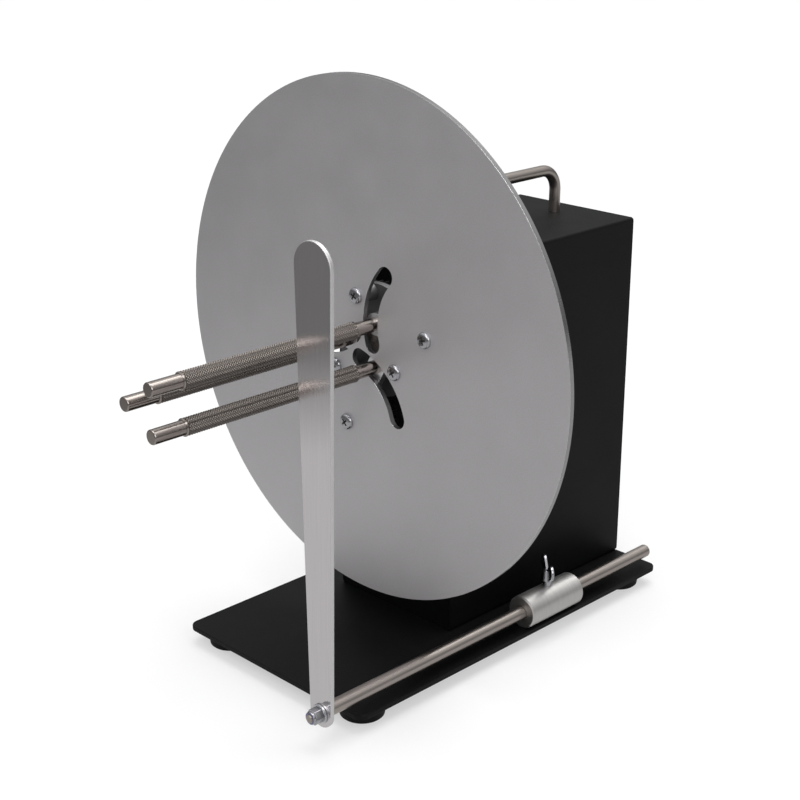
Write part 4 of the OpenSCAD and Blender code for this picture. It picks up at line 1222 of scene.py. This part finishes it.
@dataclass
class RodClamp(SubAssembly):
    """Turned clamp on the base plate and the wing screw that locks the rod in it."""

    radius: float = 10.0
    edge: float = 0.8
    bore: float = 4.05
    bore_edge: float = 0.3
    front: float = 64.0
    length: float = 46.5
    steps: int = 72
    cut_play: float = 1e-4
    stem: float = 3.5
    pad_top: float = 6.65
    thread_r: float = 2.5
    thread_edge: float = 0.2
    hub_r: float = 4.0
    hub_top_r: float = 3.1
    hub_h: float = 7.0
    hub_edge: float = 0.4
    hub_top_edge: float = 0.5
    hub_steps: int = 40
    wing_turn: float = -36.0
    wing_t: float = 2.0
    wing_edge: float = 0.65
    wing_low: float = 0.5
    wing_high: float = 6.0
    ear: Point = (8.4, 8.4)
    ear_r: float = 4.6
    ear_sweep: Point = (-36.87, 126.87)
    ear_steps: int = 20

    def build(self) -> None:
        """Builds the clamp and the wing screw."""
        out, end, edge, bore = self.radius, self.length, self.edge, self.bore
        mouth = bore + self.bore_edge
        profile = [
            (mouth, 0.0), (out - edge, 0.0), (out, edge), (out, end - edge), (out - edge, end),
            (mouth, end), (bore, end - self.bore_edge), (bore, self.bore_edge),
        ]
        clamp, datum = Workpiece.lathe(profile, self.steps, closed=True), self.datum
        clamp.moved(datum.backing(datum.rod_x, self.front, datum.rod_z))
        bmesh.ops.bisect_plane(
            clamp.mesh, geom=clamp.mesh.verts[:] + clamp.mesh.edges[:] + clamp.mesh.faces[:],
            dist=self.cut_play, plane_co=(0, 0, datum.height + datum.base_top),
            plane_no=(0, 0, -1), clear_outer=True,
        )
        clamp = clamp.closed().finished("rod_holder")
        self.hand_over(clamp, "stand", CLAMP_ALUMINIUM, "rod_clamp")
        self.wing_screw()

    def wing(self) -> Workpiece:
        """Builds one wing, outwards from the screw's axis.

        Returns:
            The wing, lying flat.
        """
        tip = arc(self.ear, self.ear_r, *self.ear_sweep, self.ear_steps)
        root = [(0.0, self.wing_low), (self.hub_r, self.wing_low)]
        outline = [*root, *tip, (0.0, self.wing_high)]
        return Workpiece.plate([outline], self.wing_t).softened(self.wing_edge, segments=3)

    def wing_screw(self) -> None:
        """Builds the stem, the hub and the two rounded wings."""
        low = -(self.radius + self.stem - self.pad_top)
        thread, hub, top = self.thread_r, self.hub_r, self.hub_h
        profile = [
            (0.0, low), (thread - self.thread_edge, low), (thread, low + self.thread_edge),
            (thread, 0.0), (hub - self.hub_edge, 0.0), (hub, self.hub_edge),
            (self.hub_top_r, top - self.hub_edge), (self.hub_top_r - self.hub_top_edge, top),
            (0.0, top),
        ]
        screw = Workpiece.lathe(profile, self.hub_steps)
        upright = Matrix.Translation((0, self.wing_t / 2, 0)) @ Matrix.Rotation(math.pi / 2, 4, "X")
        for turn in (0.0, math.pi):
            screw.joined([self.wing().moved(Matrix.Rotation(turn, 4, "Z") @ upright)])
        datum, middle = self.datum, self.front + self.length / 2
        place = datum.at(datum.rod_x, middle, datum.rod_z + self.radius + self.stem)
        place = place @ Matrix.Rotation(math.radians(self.wing_turn), 4, "Z")
        screw = screw.finished("winged_screw", place)
        self.hand_over(screw, "wing_screw", DARK_ZINC, "wing_screw")


@dataclass
class RearControls(SubAssembly):
    """Torque knob, rocker switch and power inlet on the rear panel."""

    dial_z: float = -56.0
    knob_r: float = 11.0
    knob_from: float = 5.4
    knob_reach: float = 19.0
    knob_sink: float = 0.1
    skirt: Profile = ((0.5, 0.0), (0.0, 0.5), (0.0, 2.2), (0.7, 3.0))
    crown: Profile = ((1.4, 0.9), (1.7, 0.3), (2.4, 0.0))
    bore_r: float = 3.05
    bore_end: float = 2.6
    flutes: int = 18
    flute_steps: int = 6
    flute_depth: float = 0.45
    flute_ends: Point = (2.5, 0.6)
    flute_band: float = 2.0
    pointer_w: float = 1.0
    pointer: Point = (-8.6, -2.5)
    pointer_t: float = 0.5
    pointer_edge: float = 0.1
    pointer_foot: float = 0.52
    switch_edge: float = 0.4
    inlet_edge: float = 0.3
    nut_edge: float = 0.25

    def build(self) -> None:
        """Builds the knob and softens the other fittings."""
        place = self.datum.backing(0.0, self.datum.rear, self.dial_z)
        self.knob(place)
        self.knob_pointer(place)
        for node, body, finish, edge in (
            ("switch_housing", "stand", BLACK_PLASTIC, self.switch_edge),
            ("switch_rocker", "switch_rocker", BLACK_PLASTIC, self.switch_edge),
            ("power_inlet", "stand", BLACK_PLASTIC, self.inlet_edge),
            ("panel_nuts", "stand", ZINC_STEEL, self.nut_edge),
        ):
            self.bevelled_copy(node, body, finish, edge)

    def knob(self, place: Matrix) -> None:
        """Builds the fluted knob, whose outline is counted from its rim, foot and top.

        Args:
            place: Where the dial's axis leaves the panel.
        """
        low, top, rim = self.knob_from, self.knob_reach - self.knob_sink, self.knob_r
        end = self.knob_reach - self.bore_end
        profile = [
            (0.0, end), (self.bore_r, end), (self.bore_r, low),
            *((rim - inset, low + rise) for inset, rise in self.skirt),
            *((rim - inset, top - drop) for inset, drop in self.crown), (0.0, top),
        ]
        knob = Workpiece.lathe(profile, self.flutes * self.flute_steps)
        start, stop = low + self.flute_ends[0], top - self.flute_ends[1]
        for vert in knob.mesh.verts:
            if start < vert.co.z < stop and vert.co.xy.length > rim - self.flute_band:
                wave = math.cos(math.atan2(vert.co.y, vert.co.x) * self.flutes)
                vert.co.xy *= 1 - self.flute_depth * max(0.0, wave) / rim
        knob = knob.finished("fluted_knob", place)
        self.hand_over(knob, "dial", BLACK_PLASTIC, "torque_knob")

    def knob_pointer(self, place: Matrix) -> None:
        """Builds the pointer that lies in the knob's face.

        Args:
            place: Where the dial's axis leaves the panel.
        """
        half, (tip, tail) = self.pointer_w / 2, self.pointer
        outline = [(-half, tip), (half, tip), (half, tail), (-half, tail)]
        line = Workpiece.plate([outline], self.pointer_t).softened(self.pointer_edge)
        line.moved(Matrix.Translation((0, 0, self.knob_reach - self.pointer_foot)))
        self.hand_over(line.finished("knob_pointer", place), "dial", NYLON_WHITE)


@dataclass
class InnerWorks:
    """Solids that keep their own shape and take a finish only."""

    finishes: tuple[Finish, ...] = (
        ZINC_STEEL, GEAR_STEEL, STAINLESS, TURNED_ALUMINIUM, BRASS, BOARD_GREEN, BOARD_PARTS,
        LEAD_RED, NYLON_WHITE, BLACK_PLASTIC, POWDER_BLACK, RUBBER_BLACK, SATIN_ALUMINIUM,
    )

    def dress(self) -> None:
        """Gives every solid the finish of its material slot."""
        by_slot = {finish.slot: finish for finish in self.finishes}
        for part in frame["record"]["subparts"]:
            finish = by_slot[part["material_slot"]]
            solid = frame["nodes"][part["node"]]
            solid.data.materials.clear()
            solid.data.materials.append(finish.material())
            LOG.info("%s: %s", part["node"], finish.name)


@dataclass(frozen=True)
class Lamp:
    """A soft square lamp, in metres and watts."""

    name: str
    place: Triple
    target: Triple
    size: float
    power: float

    def hang(self) -> None:
        """Hangs the lamp and turns it to its target."""
        light = bpy.data.lights.new(self.name, "AREA")
        light.size = self.size
        light.energy = self.power
        lamp = bpy.data.objects.new(self.name, light)
        aim = (Vector(self.target) - Vector(self.place)).to_track_quat("-Z", "Y")
        lamp.matrix_world = Matrix.Translation(self.place) @ aim.to_matrix().to_4x4()
        bpy.context.scene.collection.objects.link(lamp)


@dataclass
class Studio:
    """White floor, soft lamps and the camera at the photograph's angle."""

    datum: Datum
    azimuth: float = 45.17
    elevation: float = 20.0
    focal: float = 1567.0
    picture: float = 800.0
    distance: float = 877.5
    aside: float = 21.33
    above: float = -31.05
    sensor: float = 36.0
    nearest: float = 0.01
    floor_half: float = 6000.0
    floor_white: float = 0.92
    mirror_way: Triple = (-0.71, -0.70, 0.0)
    mirror_edge: Point = (0.46, 0.72)
    mirror_light: Point = (0.6, 0.185)
    self_lit: float = 0.5
    sky: float = 0.56
    sky_rise: Point = (0.1, 0.7)
    sky_mirrored: Point = (0.16, 0.8)
    sky_lamp_angle: float = 50.0
    sky_lamp_power: float = 1.7
    sky_lamp_lean: float = -12.0
    lamps: tuple[Lamp, ...] = (
        Lamp("side_lamp", (1.6, -0.5, 1.1), (0.0, 0.0, 0.15), size=1.0, power=6.0),
        Lamp("front_lamp", (0.44, -1.06, 1.29), (0.1, 0.0, 0.3), size=0.8, power=5.5),
    )

    def build(self) -> None:
        """Sets up the camera, the floor, the surroundings and the lamps."""
        self.camera()
        self.floor()
        self.surroundings()
        self.sky_lamp()
        for lamp in self.lamps:
            lamp.hang()
        bpy.context.scene.view_settings.view_transform = "Standard"

    def camera(self) -> None:
        """Stands the camera where the photograph was taken."""
        turn, lift = math.radians(self.azimuth), math.radians(self.elevation)
        level = math.cos(lift)
        back = Vector((math.sin(turn) * level, -math.cos(turn) * level, math.sin(lift)))
        right = Vector((0, 0, 1)).cross(back).normalized()
        up = back.cross(right)
        target = Vector((0, self.datum.depth, self.datum.height))
        spot = target + back * self.distance + right * self.aside + up * self.above
        lens = bpy.data.cameras.new("photo_camera")
        lens.sensor_width = self.sensor
        lens.lens = self.focal * self.sensor / self.picture
        lens.clip_start = self.nearest
        camera = bpy.data.objects.new("photo_camera", lens)
        pose = Matrix((right, up, back)).transposed().to_4x4()
        camera.matrix_world = Matrix.Translation(spot * MM) @ pose
        bpy.context.scene.collection.objects.link(camera)
        bpy.context.scene.camera = camera

    def floor(self) -> None:
        """Lays the pale floor, which the metal mirrors brightest near the object."""
        sheet = Workpiece()
        bmesh.ops.create_grid(sheet.mesh, x_segments=1, y_segments=1, size=self.floor_half)
        floor = sheet.finished("studio_floor")
        material = bpy.data.materials.new("studio_floor")
        material.use_nodes = True
        material.node_tree.nodes.clear()
        wiring = Wiring(material.node_tree)
        place = wiring.add("ShaderNodeTexCoord").outputs["Object"]
        ways = {0: place, 1: self.mirror_way}
        aside = wiring.add("ShaderNodeVectorMath", ways, operation="DOT_PRODUCT")
        mirrored = wiring.ranged(aside.outputs["Value"], *self.mirror_edge, *self.mirror_light)
        glow = wiring.add("ShaderNodeEmission", {"Strength": mirrored}).outputs[0]
        pale = (self.floor_white, self.floor_white, self.floor_white, 1.0)
        matt = wiring.add("ShaderNodeBsdfDiffuse", {"Color": pale}).outputs[0]
        path = wiring.add("ShaderNodeLightPath").outputs
        white = wiring.add("ShaderNodeEmission", {"Strength": 1.0}).outputs[0]
        seen = wiring.maths("MULTIPLY", path["Is Camera Ray"], self.self_lit)
        lit = wiring.add("ShaderNodeMixShader", {0: seen, 1: matt, 2: white}).outputs[0]
        mixed = wiring.add("ShaderNodeMixShader", {0: path["Is Glossy Ray"], 1: lit, 2: glow})
        wiring.add("ShaderNodeOutputMaterial", {"Surface": mixed.outputs[0]})
        floor.data.materials.append(material)

    def surroundings(self) -> None:
        """Makes the surroundings white to the camera and greyer to the metal."""
        world = bpy.data.worlds.new("studio")
        world.use_nodes = True
        world.node_tree.nodes.clear()
        wiring = Wiring(world.node_tree)
        path = wiring.add("ShaderNodeLightPath").outputs
        way = wiring.add("ShaderNodeTexCoord").outputs["Generated"]
        rise = wiring.add("ShaderNodeSeparateXYZ", {0: way}).outputs["Z"]
        mirrored = wiring.ranged(rise, *self.sky_rise, *self.sky_mirrored)
        extra = wiring.maths("SUBTRACT", mirrored, self.sky)
        plain = wiring.maths("MULTIPLY_ADD", path["Is Glossy Ray"], extra, self.sky)
        strength = wiring.maths("MULTIPLY_ADD", path["Is Camera Ray"], 1.0 - self.sky, plain)
        white = {"Color": (1.0, 1.0, 1.0, 1.0), "Strength": strength}
        light = wiring.add("ShaderNodeBackground", white)
        wiring.add("ShaderNodeOutputWorld", {"Surface": light.outputs[0]})
        bpy.context.scene.world = world

    def sky_lamp(self) -> None:
        """Hangs one wide lamp far overhead, so that the floor is evenly white."""
        light = bpy.data.lights.new("sky_lamp", "SUN")
        light.angle = math.radians(self.sky_lamp_angle)
        light.energy = self.sky_lamp_power
        lamp = bpy.data.objects.new("sky_lamp", light)
        lamp.matrix_world = Matrix.Rotation(math.radians(self.sky_lamp_lean), 4, "X")
        bpy.context.scene.collection.objects.link(lamp)


def main() -> None:
    """Builds the studio and the sub-assemblies."""
    logging.basicConfig(level=logging.INFO, format="%(message)s")
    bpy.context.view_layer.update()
    datum = Datum.from_disc()
    Studio(datum).build()
    InnerWorks().dress()
    for assembly in (
        WindingDisc, CorePosts, DriveHead, Housing, CarryHandle, Guide, RodClamp, RearControls,
    ):
        assembly(datum).build()


if __name__ == "__main__":
    main()
